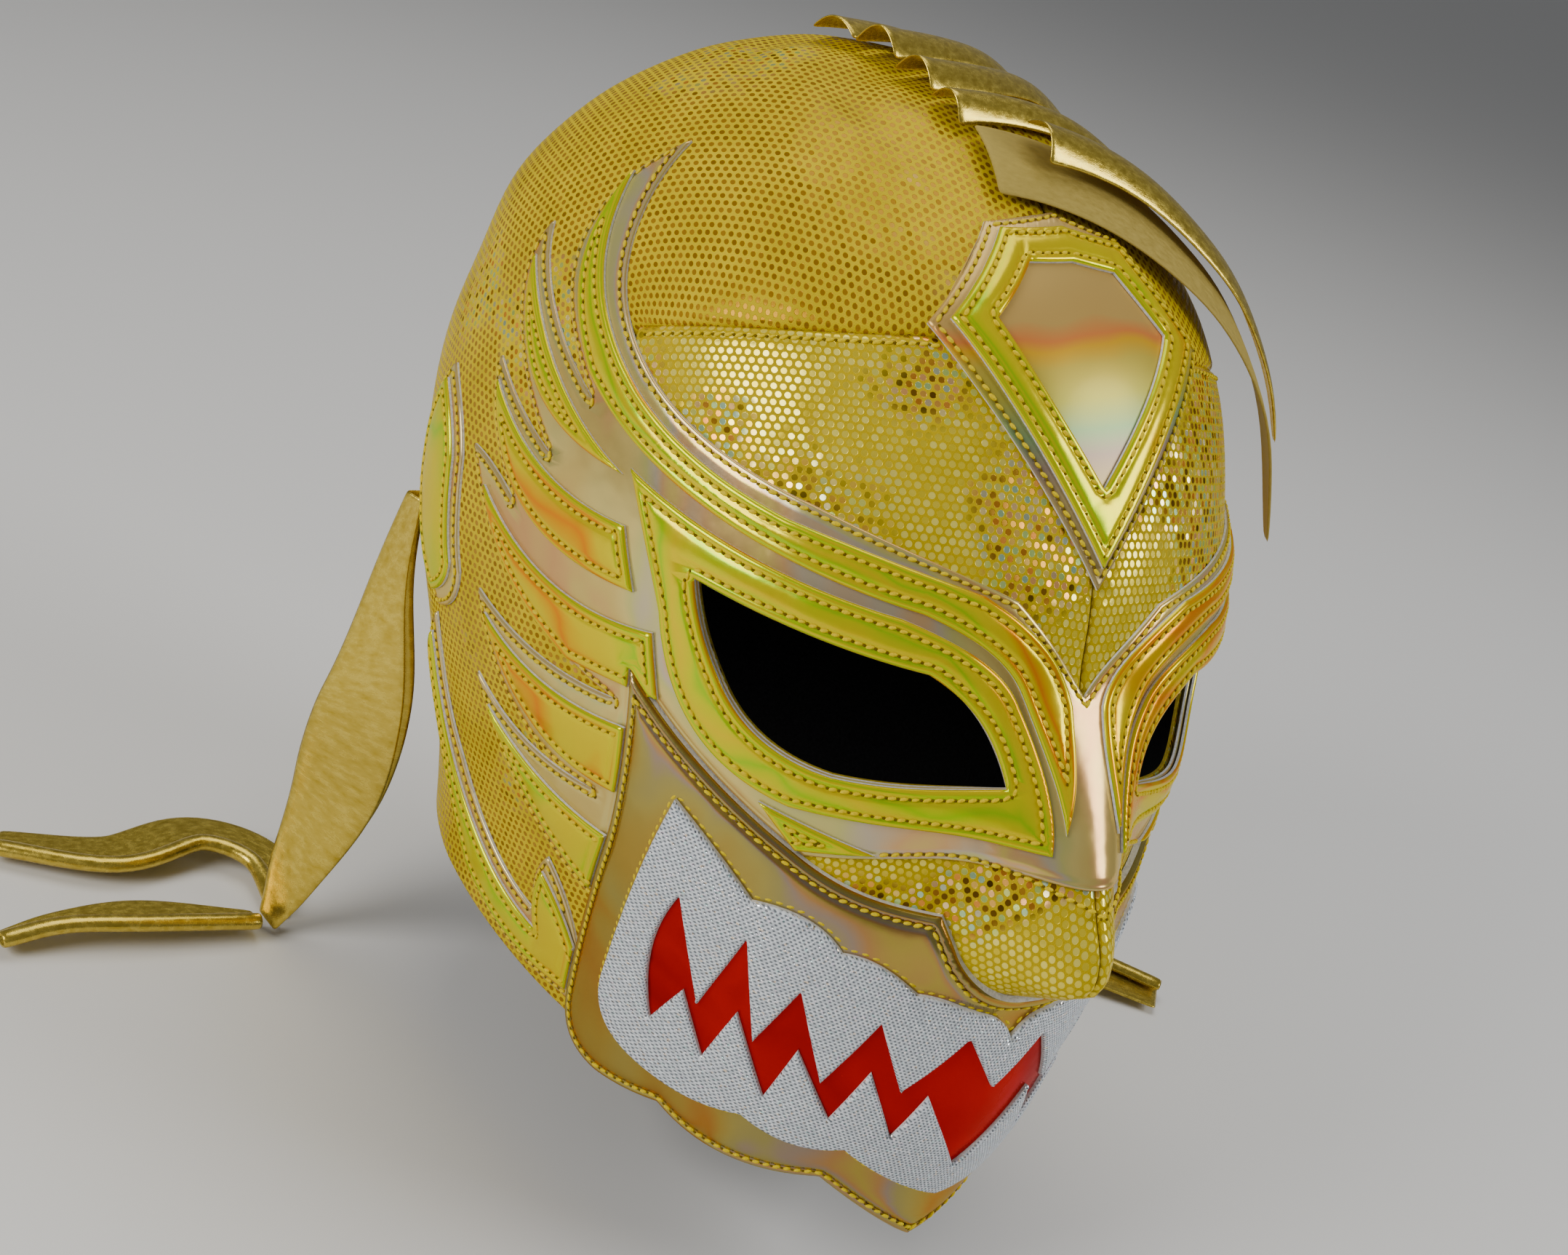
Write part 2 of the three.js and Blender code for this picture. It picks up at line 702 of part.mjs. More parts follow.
// A strip of lame through stations, arched across its width.
// A station holds its centre, the direction across, the direction of its arch, width and arch.
function stripSolid(stations) {
  const grid = (offset) => stations.map((station) => {
    const line = [];
    for (let i = 0; i <= acrossSteps; i += 1) {
      const share = (2 * i) / acrossSteps - 1;
      const arch = station.arch * (1 - share * share);
      const slope = new THREE.Vector2(2 * station.arch * share, station.width / 2).normalize();
      const point = station.centre.clone();
      point.addScaledVector(station.across, (share * station.width) / 2 + slope.x * offset);
      point.addScaledVector(station.up, arch + slope.y * offset);
      line.push(point);
    }
    return line;
  });
  return solidOf(slabTriangles(grid(lameWall), grid(0)));
}

// The place on the crown at a share of the way along a lock, by plan and not by turn.
function lockPlace(lock, share) {
  const plan = (turn, drop) => {
    const angle = THREE.MathUtils.degToRad(turn);
    return new THREE.Vector2(Math.sin(angle), Math.cos(angle)).multiplyScalar(Math.sqrt(drop));
  };
  const path = new THREE.QuadraticBezierCurve(
    plan(lock.startTurn, lock.startDrop),
    plan(lock.bendTurn, lock.bendDrop),
    plan(lock.endTurn, lock.endDrop),
  );
  const at = path.getPoint(share);
  return { turn: THREE.MathUtils.radToDeg(Math.atan2(at.x, at.y)), drop: at.lengthSq() };
}

// A lock lies on the cloth, flicks up at its tip, flattens from its root and narrows at last.
const liftPower = 4;
const archFall = 0.7;
const taperFrom = 0.7;
const tipShare = 0.12;
function lockSolid(lock, width) {
  const centres = [];
  for (let i = 0; i <= stripSteps; i += 1) {
    const share = i / stripSteps;
    const { turn, drop } = lockPlace(lock, share);
    const lift = THREE.MathUtils.lerp(lock.startLift, lock.endLift, share ** liftPower) * lockArch;
    centres.push({ share, up: clothNormal(turn, drop), centre: hoodPoint(turn, drop, layerGap + lift) });
  }
  const stations = centres.map(({ share, up, centre }, i) => {
    const before = centres[Math.max(i - 1, 0)].centre;
    const after = centres[Math.min(i + 1, stripSteps)].centre;
    const along = after.clone().sub(before).normalize();
    const across = up.clone().cross(along).normalize();
    const taper = Math.min(1, THREE.MathUtils.mapLinear(share, taperFrom, 1, 1, tipShare));
    return {
      centre,
      across,
      up: along.clone().cross(across),
      width: width * lock.width * taper,
      arch: lockArch * lock.arch * taper * (1 - archFall * Math.sqrt(share)),
    };
  });
  return stripSolid(stations);
}
for (const lock of crestLocks) addPiece(lock.name, lockSolid(lock, lockWidth), lame);
for (const tail of crestTails) addPiece(tail.name, lockSolid(tail, tailWidth), lame);

// A ribbon's strip through its stations, its crease pointing along a given direction.
function ribbonSolid(rows, side, crease) {
  const places = rows.map((row) => new THREE.Vector3(
    side * row.out * ribbonOut,
    row.back * ribbonBack,
    crownSink * hoodDrop - row.down * restDrop,
  ));
  const stations = rows.map((row, i) => {
    const before = places[Math.max(i - 1, 0)];
    const after = places[Math.min(i + 1, rows.length - 1)];
    const along = after.clone().sub(before).normalize();
    const up = crease.clone().addScaledVector(along, -crease.dot(along)).normalize();
    return {
      centre: places[i],
      across: up.clone().cross(along),
      up,
      width: row.width * ribbonWidth,
      arch: row.fold * ribbonFold,
    };
  });
  return stripSolid(stations);
}
const creaseBack = 0.75;
const upward = new THREE.Vector3(0, 0, 1);
for (const { side, word } of sides) {
  const outward = new THREE.Vector3(side, creaseBack, 0).normalize();
  addPiece(`ribbon_fall_${word}`, ribbonSolid(ribbonFall, side, outward), lame);
}
addPiece('ribbon_end_right_1', ribbonSolid(ribbonUpper, -1, upward), lame);
addPiece('ribbon_end_right_2', ribbonSolid(ribbonLower, -1, upward), lame);
addPiece('ribbon_end_left', ribbonSolid(ribbonFar, 1, upward), lame);

export default hood;
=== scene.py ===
# %% [markdown]
# # A lucha hood, sewn and worn
#
# The real mask is a stretch hood of two gold cloths. Foil-faced vinyl shapes are sewn on it
# in layers: a pearly under-layer, yellow flames over it, a padded mouth with teeth, and a
# forehead lozenge. Strips of gold lame make a crest, and two ribbons hang behind the ears.
#
# Every sewn shape is a flat cut laid on the head's form. So this lesson first writes the
# form down as a formula, and then cuts each sheet in a flat chart and bends it on.

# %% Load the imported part
import math

import bpy
import numpy as np
from mathutils import Euler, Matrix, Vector
from mathutils.geometry import delaunay_2d_cdt
from mathutils.kdtree import KDTree


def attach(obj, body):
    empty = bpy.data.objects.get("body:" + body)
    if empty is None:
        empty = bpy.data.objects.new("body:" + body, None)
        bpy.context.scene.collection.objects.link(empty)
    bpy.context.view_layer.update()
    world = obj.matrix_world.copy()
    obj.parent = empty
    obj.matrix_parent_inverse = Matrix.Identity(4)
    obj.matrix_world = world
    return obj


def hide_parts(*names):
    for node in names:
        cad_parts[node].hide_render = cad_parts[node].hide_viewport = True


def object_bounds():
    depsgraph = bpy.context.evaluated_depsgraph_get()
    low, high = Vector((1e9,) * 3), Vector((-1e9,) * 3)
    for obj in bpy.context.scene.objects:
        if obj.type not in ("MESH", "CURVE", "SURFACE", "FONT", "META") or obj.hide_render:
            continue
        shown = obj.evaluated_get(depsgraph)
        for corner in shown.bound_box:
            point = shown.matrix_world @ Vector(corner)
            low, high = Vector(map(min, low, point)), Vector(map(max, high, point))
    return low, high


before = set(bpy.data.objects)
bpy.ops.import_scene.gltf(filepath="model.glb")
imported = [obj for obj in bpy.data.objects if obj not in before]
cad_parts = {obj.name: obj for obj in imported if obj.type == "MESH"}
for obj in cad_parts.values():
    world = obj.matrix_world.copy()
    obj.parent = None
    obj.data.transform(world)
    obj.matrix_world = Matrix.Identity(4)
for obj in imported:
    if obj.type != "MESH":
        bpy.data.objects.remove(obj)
cad_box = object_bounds()
MM = 0.001
print("CAD nodes:", len(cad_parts))

# %% [markdown]
# ## Camera
#
# The photograph looks at the wearer's right front from above, with the camera rolled to one
# side. A camera turned by three angles in a row (round, down, roll) keeps that readable.

# %% Camera
VIEW_AZIMUTH = math.radians(-37.76)
VIEW_ELEVATION = math.radians(23.66)
VIEW_ROLL = math.radians(17.99)
VIEW_PLACE = Vector((-297.55, -397.21, 85.77)) * MM
LENS_MM = 52.9

bpy.ops.object.camera_add(location=VIEW_PLACE)
camera = bpy.context.object
camera.name = "view_camera"
camera.data.lens = LENS_MM
camera.data.clip_start = 10 * MM
camera.rotation_mode = "QUATERNION"
level = Euler((math.pi / 2 - VIEW_ELEVATION, 0, VIEW_AZIMUTH)).to_quaternion()
camera.rotation_quaternion = level @ Euler((0, 0, VIEW_ROLL)).to_quaternion()
bpy.context.scene.camera = camera
print("camera right", camera.rotation_quaternion @ Vector((1, 0, 0)))

# %% [markdown]
# ## The head form
#
# A place on the hood is a turn (degrees about the head, 0 at the nose, positive to the
# wearer's left), a drop (0 at the crown, 1 at the hem) and a lift above the cloth. The form
# is a stack of rounded sections, given as shares of the head's sizes, with a nose ridge.

# %% Head form
HOOD_DROP = 215 * MM
FACE_REACH = 120 * MM
NAPE_REACH = 88 * MM
HALF_BREADTH = 80 * MM
NOSE_REACH = 25 * MM
NOSE_HALF = 15 * MM
CLOTH_WALL = 1.5 * MM

# drop, front, back, side, fullness
SECTIONS = np.array([
    (0, 0, 0, 0, 2.2),
    (0.028, 0.24, 0.31, 0.32, 2.2),
    (0.102, 0.445, 0.565, 0.58, 2.2),
    (0.2, 0.65, 0.795, 0.805, 2.25),
    (0.29, 0.765, 0.93, 0.93, 2.25),
    (0.377, 0.85, 0.97, 0.97, 2.25),
    (0.47, 0.905, 1, 1, 2.25),
    (0.56, 0.935, 0.98, 0.995, 2.2),
    (0.665, 0.96, 0.93, 0.965, 2.1),
    (0.76, 1, 0.84, 0.9, 2),
    (0.85, 1.01, 0.76, 0.835, 1.9),
    (0.93, 1, 0.72, 0.79, 1.85),
    (1, 0.975, 0.7, 0.77, 1.8),
    (1.1, 0.965, 0.7, 0.76, 1.8),
])
# The crown is flatter than its drops say: how much lower it lies, as a share of HOOD_DROP
CROWN_SINK = 0.055
# drop, sink
CROWN_FLAT = np.array([
    (0, CROWN_SINK), (0.02, 0.042), (0.05, 0.03), (0.1, 0.013), (0.15, 0.005), (0.2, 0), (0.25, 0), (1.1, 0),
])
# drop, reach
NOSE_RIDGE = np.array([
    (0.4, 0), (0.47, 0.02), (0.55, 0.42), (0.63, 0.82), (0.665, 1),
    (0.7, 0.93), (0.735, 0.45), (0.76, 0.08), (0.8, 0),
])
# turn, drop
HEM = np.array([(0, 1), (45, 1.01), (75, 0.995), (100, 0.975), (140, 0.955), (180, 0.95)])


def smooth(xs, ys, at):
    """A smooth curve through the rows of a table."""
    at = np.clip(at, xs[0], xs[-1])
    run = np.diff(xs)
    slope = np.diff(ys) / run
    lean = np.empty(len(xs))
    lean[1:-1] = (slope[:-1] * run[1:] + slope[1:] * run[:-1]) / (run[:-1] + run[1:])
    lean[0], lean[-1] = slope[0], slope[-1]
    i = np.clip(np.searchsorted(xs, at, side="right") - 1, 0, len(xs) - 2)
    t = (at - xs[i]) / run[i]
    rise = (3 - 2 * t) * t * t
    bend = t * (1 - t) ** 2 * lean[i] + t * t * (t - 1) * lean[i + 1]
    return ys[i] + rise * (ys[i + 1] - ys[i]) + bend * run[i]


def cloth_point(turn, drop):
    """Points of the cloth's outer face, for arrays of turns and drops."""
    turn, drop = np.broadcast_arrays(np.asarray(turn, float), np.asarray(drop, float))
    ahead, aside = np.cos(np.radians(turn)), np.sin(np.radians(turn))
    rows, at = np.sqrt(SECTIONS[:, 0]), np.sqrt(np.maximum(drop, 0))
    front, back, side, fullness = (smooth(rows, SECTIONS[:, k], at) for k in (1, 2, 3, 4))
    reach = np.maximum(np.where(ahead > 0, front * FACE_REACH, back * NAPE_REACH), 1e-7)
    side = np.maximum(side * HALF_BREADTH, 1e-7)
    radius = (abs(aside / side) ** fullness + abs(ahead / reach) ** fullness) ** (-1 / fullness)
    x = radius * aside
    ridge = smooth(NOSE_RIDGE[:, 0], NOSE_RIDGE[:, 1], drop) * NOSE_REACH * (ahead > 0)
    y = -radius * ahead - ridge * np.exp(-((x / NOSE_HALF) ** 2))
    sink = smooth(CROWN_FLAT[:, 0], CROWN_FLAT[:, 1], drop) - CROWN_SINK
    return np.stack([x, y, CLOTH_WALL - (drop + sink) * HOOD_DROP], -1)


def cloth_slopes(turn, drop):
    """How the cloth's point moves per degree of turn and per unit of drop."""
    turn, drop = np.asarray(turn, float), np.asarray(drop, float)
    small_turn, small_drop = 0.2, 0.001
    higher = np.maximum(drop - small_drop, 1e-5)
    lower = drop + small_drop
    along = (cloth_point(turn + small_turn, drop) - cloth_point(turn - small_turn, drop)) / (2 * small_turn)
    down = (cloth_point(turn, lower) - cloth_point(turn, higher)) / (lower - higher)[..., None]
    return along, down


def unit(vectors):
    return vectors / np.maximum(np.linalg.norm(vectors, axis=-1, keepdims=True), 1e-12)


def cloth_normal(turn, drop):
    along, down = cloth_slopes(turn, np.maximum(drop, 1e-4))
    return unit(np.cross(down, along))


def on_hood(turn, drop, lift):
    """Points at a lift above the cloth."""
    return cloth_point(turn, drop) + cloth_normal(turn, drop) * np.asarray(lift)[..., None]


print("brow to nape", np.ptp(cloth_point(np.array([0, 180]), np.array([0.45, 0.45]))[:, 1]).round(3))

# %% [markdown]
# ## Outlines of the cuts
#
# Each cut is drawn as a few edges in turn and drop. A row is one edge: where it ends, and
# the point that it bends towards, if it bends. The flames repeat on both sides of the face.

# %% Outlines
EYE_HOLE = [
    (44, 0.462), (18, 0.468, 30, 0.466), (8, 0.552, 10.5, 0.49), (24, 0.583, 15, 0.573),
    (38, 0.535, 33, 0.585), (44, 0.462, 42, 0.5),
]
EYE_RING = [
    (57, 0.405), (47, 0.505, 51, 0.455), (27, 0.625, 41, 0.62), (4, 0.594, 16, 0.612),
    (8, 0.484, 3.5, 0.54), (22, 0.428, 11, 0.44), (57, 0.405, 42, 0.426),
]
BROW_FLAME = [
    (3, 0.575), (8, 0.472, 3.6, 0.53), (20, 0.42, 11, 0.433), (46, 0.402, 36, 0.414),
    (70, 0.353, 60, 0.386), (86, 0.195, 86, 0.275), (60, 0.343, 77, 0.29),
    (36, 0.381, 50, 0.372), (14, 0.395, 24, 0.382), (2, 0.48, 4, 0.425), (3, 0.575, 1.5, 0.53),
]
SIDE_FLAMES = [
    [(94, 0.3), (58, 0.414, 86, 0.43), (94, 0.3, 78, 0.385)],
    [(90, 0.42), (51, 0.503, 77, 0.54), (55, 0.453), (90, 0.42, 72, 0.474)],
    [(85, 0.515), (58, 0.603, 77, 0.58), (44, 0.585), (47, 0.528), (85, 0.515, 64, 0.57)],
    [(78, 0.63), (46, 0.702, 63, 0.725), (44, 0.66), (47, 0.63), (78, 0.63, 62, 0.66)],
    [(75, 0.725), (44, 0.838, 60, 0.81), (44, 0.756), (75, 0.725, 58, 0.765)],
]
FLAME_BASE = [
    (-1, 0.48), (0, 0.473), (10, 0.395, 4, 0.43), (34, 0.363, 18, 0.375),
    (60, 0.325, 50, 0.357), (82, 0.148, 77, 0.27), (68, 0.375, 98, 0.26),
    (96, 0.268, 86, 0.335), (72, 0.443, 100, 0.36), (93, 0.402, 84, 0.428),
    (77, 0.508, 92, 0.45), (92, 0.493, 85, 0.49), (50, 0.613, 78, 0.6),
    (82, 0.618, 64, 0.638), (49.5, 0.72, 69, 0.74), (80, 0.706, 66, 0.745),
    (43, 0.85, 64, 0.83), (40, 0.72), (28, 0.68), (12, 0.633, 20, 0.66),
    (-1, 0.64, 5, 0.612),
]
CHEEK_SLIVER = [(30, 0.632), (17.5, 0.645, 24, 0.637), (25, 0.665), (30, 0.632)]
EAR_BASE = [
    (107, 0.45), (95, 0.52, 98, 0.478), (89, 0.625, 93, 0.585), (96, 0.685, 88, 0.665),
    (112, 0.575, 108, 0.66), (107, 0.45, 114, 0.5),
]
EAR_FLAME = [
    (106.5, 0.466), (97, 0.525, 99.5, 0.49), (91.5, 0.622, 95, 0.588), (97, 0.67, 91, 0.65),
    (110, 0.575, 106.5, 0.648), (106.5, 0.466, 111.5, 0.505),
]
JAW_BASE = [
    (98, 0.7), (87, 0.83, 95.5, 0.785), (58.5, 0.922, 74, 0.912), (57, 0.845, 61, 0.878),
    (46, 0.94, 50, 0.875), (44, 0.985), (80, 0.957, 62, 1.0), (102, 0.77, 98, 0.865),
    (98, 0.7, 104, 0.73),
]
JAW_FLAME = [
    (98.6, 0.722), (88, 0.847, 96, 0.795), (56.5, 0.937, 74, 0.927), (57, 0.862, 59.4, 0.9),
    (44, 0.95, 50.5, 0.885), (44, 0.972), (80, 0.944, 62, 0.99), (100.5, 0.77, 96.5, 0.855),
    (98.6, 0.722, 102, 0.74),
]
FACE_PANEL = [
    (0, 0.2), (26, 0.211, 12, 0.202), (66, 0.296, 50, 0.245), (56, 0.5, 65, 0.4),
    (46, 0.75, 48, 0.64), (45, 1.01), (0, 1),
]
# These cross the midline, and are mirrored to a whole outline.
EMBLEM_BASE = [(0, 0.1), (17, 0.117), (26, 0.203), (0, 0.381, 11, 0.262)]
EMBLEM_FRAME = [(0, 0.113), (14.5, 0.122), (23, 0.197), (0, 0.363, 11, 0.245)]
EMBLEM_WINDOW = [(0, 0.138), (9.5, 0.143), (16, 0.188), (0, 0.302, 7, 0.24)]
MOUTH_BORDER = [
    (0, 0.752), (8.5, 0.712, 6, 0.745), (10.5, 0.682), (25, 0.668, 17, 0.698),
    (48.5, 0.572, 38, 0.625), (46, 0.76, 45.5, 0.67), (47, 0.955, 47.5, 0.87),
    (38, 1.036, 47, 1.03), (28.5, 1.022, 33, 1.035), (10.5, 1.013, 20, 1.055),
    (0, 1.066, 6, 1.035),
]
TEETH = [
    (0, 0.797), (10, 0.76, 5, 0.745), (17.5, 0.742, 14, 0.735), (27, 0.725, 21, 0.71),
    (38, 0.663, 32, 0.69), (40.5, 0.9, 40, 0.76), (30, 0.982, 41, 0.975),
    (19.5, 0.966, 24, 0.988), (10, 0.955, 14, 0.985), (0, 0.998, 5, 0.982),
]
ZIGZAG = [
    (0, 0.855), (4, 0.8), (8, 0.87), (12, 0.8), (14.5, 0.888), (19.5, 0.795), (21.5, 0.876),
    (26, 0.765), (28, 0.868), (34, 0.757), (32.5, 0.918, 37, 0.84), (30, 0.862),
    (25.5, 0.925), (24, 0.852), (18.5, 0.933), (17.5, 0.862), (12.5, 0.926), (11, 0.857),
    (7, 0.925), (5.5, 0.87), (0, 0.953),
]
RED_BAND = [
    (0, 0.82), (4, 0.787), (20, 0.777), (34.5, 0.738), (37.3, 0.8), (34.5, 0.932),
    (10, 0.94), (0, 0.972),
]


def ring_of(rows, side=1, whole=False, step=0.8 * MM):
    """The closed outline of a cut, as points a step apart along the cloth."""
    corners = [np.array(rows[0][:2], float)]
    for row in rows[1:]:
        start, end = corners[-1], np.array(row[:2], float)
        share = np.linspace(0, 1, 60)[1:, None]
        if len(row) == 4:
            bend = np.array(row[2:], float)
            line = (1 - share) ** 2 * start + 2 * share * (1 - share) * bend + share**2 * end
        else:
            line = start + share * (end - start)
        length = np.linalg.norm(np.diff(cloth_point(*line.T), axis=0), axis=1).sum()
        count = max(2, round(length / step))
        picks = np.linspace(0, len(line) - 1, count + 1).round().astype(int)[1:]
        corners.extend(line[picks])
    ring = np.array(corners)
    if whole:
        mirror = ring[::-1] * (-1, 1)
        ring = np.concatenate([ring, mirror[1:-1]])
    elif np.allclose(ring[0], ring[-1]):
        ring = ring[:-1]
    return ring * (side, 1)


print("points round an eye hole:", len(ring_of(EYE_HOLE)))

# %% [markdown]
# ## Cutting a sheet
#
# A real cut has a rounded top edge, a groove where the thread pulls it down, and a slight
# puff between the grooves, because there is foam under the foil. So the sheet's points are
# chosen by their distance from the cut's edge: a few rings close to it, and an even field
# further in. A Delaunay mesh joins them, and then each point is bent onto the head.

# %% Helpers for the chart
def inside(points, ring):
    """Which points lie inside a closed ring, by counting crossings."""
    x, y = points[:, :1], points[:, 1:]
    ax, ay = ring.T
    bx, by = np.roll(ring, -1, axis=0).T
    spans = (ay > y) != (by > y)
    with np.errstate(divide="ignore", invalid="ignore"):
        cross = (bx - ax) * (y - ay) / (by - ay) + ax
    return (spans & (x < cross)).sum(1) % 2 == 1


def kept_by(points, insides, outsides):
    """Which points lie in every ring of the first list and in none of the second."""
    keep = np.ones(len(points), bool)
    for ring in insides:
        keep &= inside(points, ring)
    for ring in outsides:
        keep &= ~inside(points, ring)
    return keep


def tree_of(points):
    tree = KDTree(len(points))
    for i, point in enumerate(points):
        tree.insert(point, i)
    tree.balance()
    return tree


def distance_to(tree, points):
    return np.array([tree.find(point)[2] for point in points]) if len(points) else np.zeros(0)


def grow(ring, distance):
    """A ring moved outwards along the cloth."""
    area = np.sum(ring[:, 0] * np.roll(ring[:, 1], -1) - np.roll(ring[:, 0], -1) * ring[:, 1])
    along, down = cloth_slopes(*ring.T)
    normal = unit(np.cross(down, along))
    step = np.roll(cloth_point(*ring.T), -1, axis=0) - np.roll(cloth_point(*ring.T), 1, axis=0)
    out = unit(np.cross(step, normal)) * distance * (-1 if area > 0 else 1)
    return ring + chart_step(along, down, out)


def chart_step(along, down, move):
    """The change of turn and drop that makes a small move along the cloth."""
    aa, ad, dd = ((u * v).sum(-1) for u, v in ((along, along), (along, down), (down, down)))
    ma, md = (move * along).sum(-1), (move * down).sum(-1)
    det = aa * dd - ad * ad
    return np.stack([(ma * dd - md * ad) / det, (md * aa - ma * ad) / det], -1)


# %% Points of a cut
def edge_points(insides, outsides):
    """The cut's edge: those points of every ring that the other rings leave."""
    found = []
    for ring in [*insides, *outsides]:
        others_in = [r for r in insides if r is not ring]
        others_out = [r for r in outsides if r is not ring]
        found.append(ring[kept_by(ring, others_in, others_out)])
    return np.concatenate(found)


def inner_rings(insides, outsides, distances, tree):
    """Rings of points at given distances inside the cut's edge."""
    found = []
    for ring, sign in [(r, -1) for r in insides] + [(r, 1) for r in outsides]:
        for distance in distances:
            moved = grow(ring, sign * distance)
            moved = moved[kept_by(moved, insides, outsides)]
            near = distance_to(tree, cloth_point(*moved.T))
            found.append(moved[near > 0.9 * distance])
    return np.concatenate(found) if found else np.zeros((0, 2))


def field_points(insides, outsides, spacing):
    """An even field of points over a cut, in rows that follow the head."""
    low, high = insides[0].min(0), insides[0].max(0)
    middle = (low[0] + high[0]) / 2
    rows, drop, odd = [], max(low[1], 0.002), 0
    while drop < high[1]:
        along, down = cloth_slopes(middle, drop)
        turn_step = spacing / max(np.linalg.norm(along), 1e-6)
        turns = np.arange(low[0] + turn_step * 0.5 * odd, high[0], turn_step)
        rows.append(np.stack([turns, np.full(len(turns), drop)], -1))
        drop += 0.87 * spacing / np.linalg.norm(down)
        odd = 1 - odd
    points = np.concatenate(rows)
    return points[kept_by(points, insides, outsides)]


def flat_chart(points):
    """Turn and drop drawn to about true scale, for joining points."""
    return np.stack([points[:, 0] * 1.4, points[:, 1] * 215], -1)


def crown_chart(points):
    """A plan of the head seen from above, for cuts that reach over the crown."""
    reach = np.interp(points[:, 1], [0, 0.03, 0.1, 0.2, 0.3, 0.5, 1.1], [0, 27, 52, 80, 104, 148, 277])
    angle = np.radians(points[:, 0])
    return np.stack([reach * np.sin(angle), reach * np.cos(angle)], -1)


# %% Cut a sheet and lay it on the hood
def cut_sheet(name, insides, outsides=(), low=0.0, high=0.0, spacing=2 * MM, edge=(), top=None,
              chart=flat_chart):
    """A closed thin solid over a cut. The top's lift is high plus top(points, distance)."""
    outsides = list(outsides)
    border = edge_points(insides, outsides)
    tree = tree_of(cloth_point(*border.T))
    rings = inner_rings(insides, outsides, edge, tree)
    field = field_points(insides, outsides, spacing)
    clear = (max(edge) if edge else 0) + 0.6 * spacing
    field = field[distance_to(tree, cloth_point(*field.T)) > clear]
    fixed = np.concatenate([*insides, *outsides])
    points = np.concatenate([fixed, rings, field])
    links, start = [], 0
    for ring in [*insides, *outsides]:
        links += [(start + i, start + (i + 1) % len(ring)) for i in range(len(ring))]
        start += len(ring)
    placed = [Vector(p) for p in chart(points)]
    verts, _, faces, origins, _, _ = delaunay_2d_cdt(placed, links, [], 0, 1e-4)
    flat = np.array([tuple(v) for v in verts])
    back = np.array([points[o[0]] if o else (np.nan, np.nan) for o in origins])
    for i in np.nonzero(np.isnan(back[:, 0]))[0]:
        near = np.argsort(((flat - flat[i]) ** 2).sum(1))[1:4]
        back[i] = np.nanmean(back[near], axis=0)
    triangles = np.array([f for f in faces if len(f) == 3])
    middles = back[triangles].mean(1)
    triangles = triangles[kept_by(middles, insides, outsides)]
    used, numbers = np.unique(triangles, return_inverse=True)
    return build_sheet(name, back[used], numbers.reshape(-1, 3), tree, low, high, top)


def build_sheet(name, places, triangles, tree, low, high, top):
    """The sheet's mesh: an outer face, an inner face and a rim between them."""
    seats = cloth_point(*places.T)
    normals = cloth_normal(*places.T)
    corner = seats[triangles]
    facing = (np.cross(corner[:, 1] - corner[:, 0], corner[:, 2] - corner[:, 0])
              * normals[triangles[:, 0]]).sum(1)
    triangles[facing < 0] = triangles[facing < 0][:, ::-1]
    distance = distance_to(tree, seats)
    lift = high + (top(places, distance) if top else 0 * distance)
    outer = seats + normals * lift[:, None]
    inner = seats + normals * low
    sides = np.concatenate([triangles[:, [0, 1]], triangles[:, [1, 2]], triangles[:, [2, 0]]])
    known = {tuple(s) for s in sides.tolist()}
    rim = [(a, b) for a, b in sides.tolist() if (b, a) not in known]
    count = len(places)
    faces = [tuple(t) for t in triangles.tolist()]
    faces += [(c + count, b + count, a + count) for a, b, c in triangles.tolist()]
    faces += [(b, a, a + count, b + count) for a, b in rim]
    mesh = bpy.data.meshes.new(name)
    mesh.from_pydata(np.concatenate([outer, inner]).tolist(), [], faces)
    piece = bpy.data.objects.new(name, mesh)
    bpy.context.scene.collection.objects.link(piece)
    slots = np.zeros(len(faces), np.int32)
    slots[len(triangles): 2 * len(triangles)] = 1
    slots[2 * len(triangles):] = 2
    mesh.polygons.foreach_set("material_index", slots)
    mesh.polygons.foreach_set("use_smooth", slots < 2)
    mesh.update()
    return piece


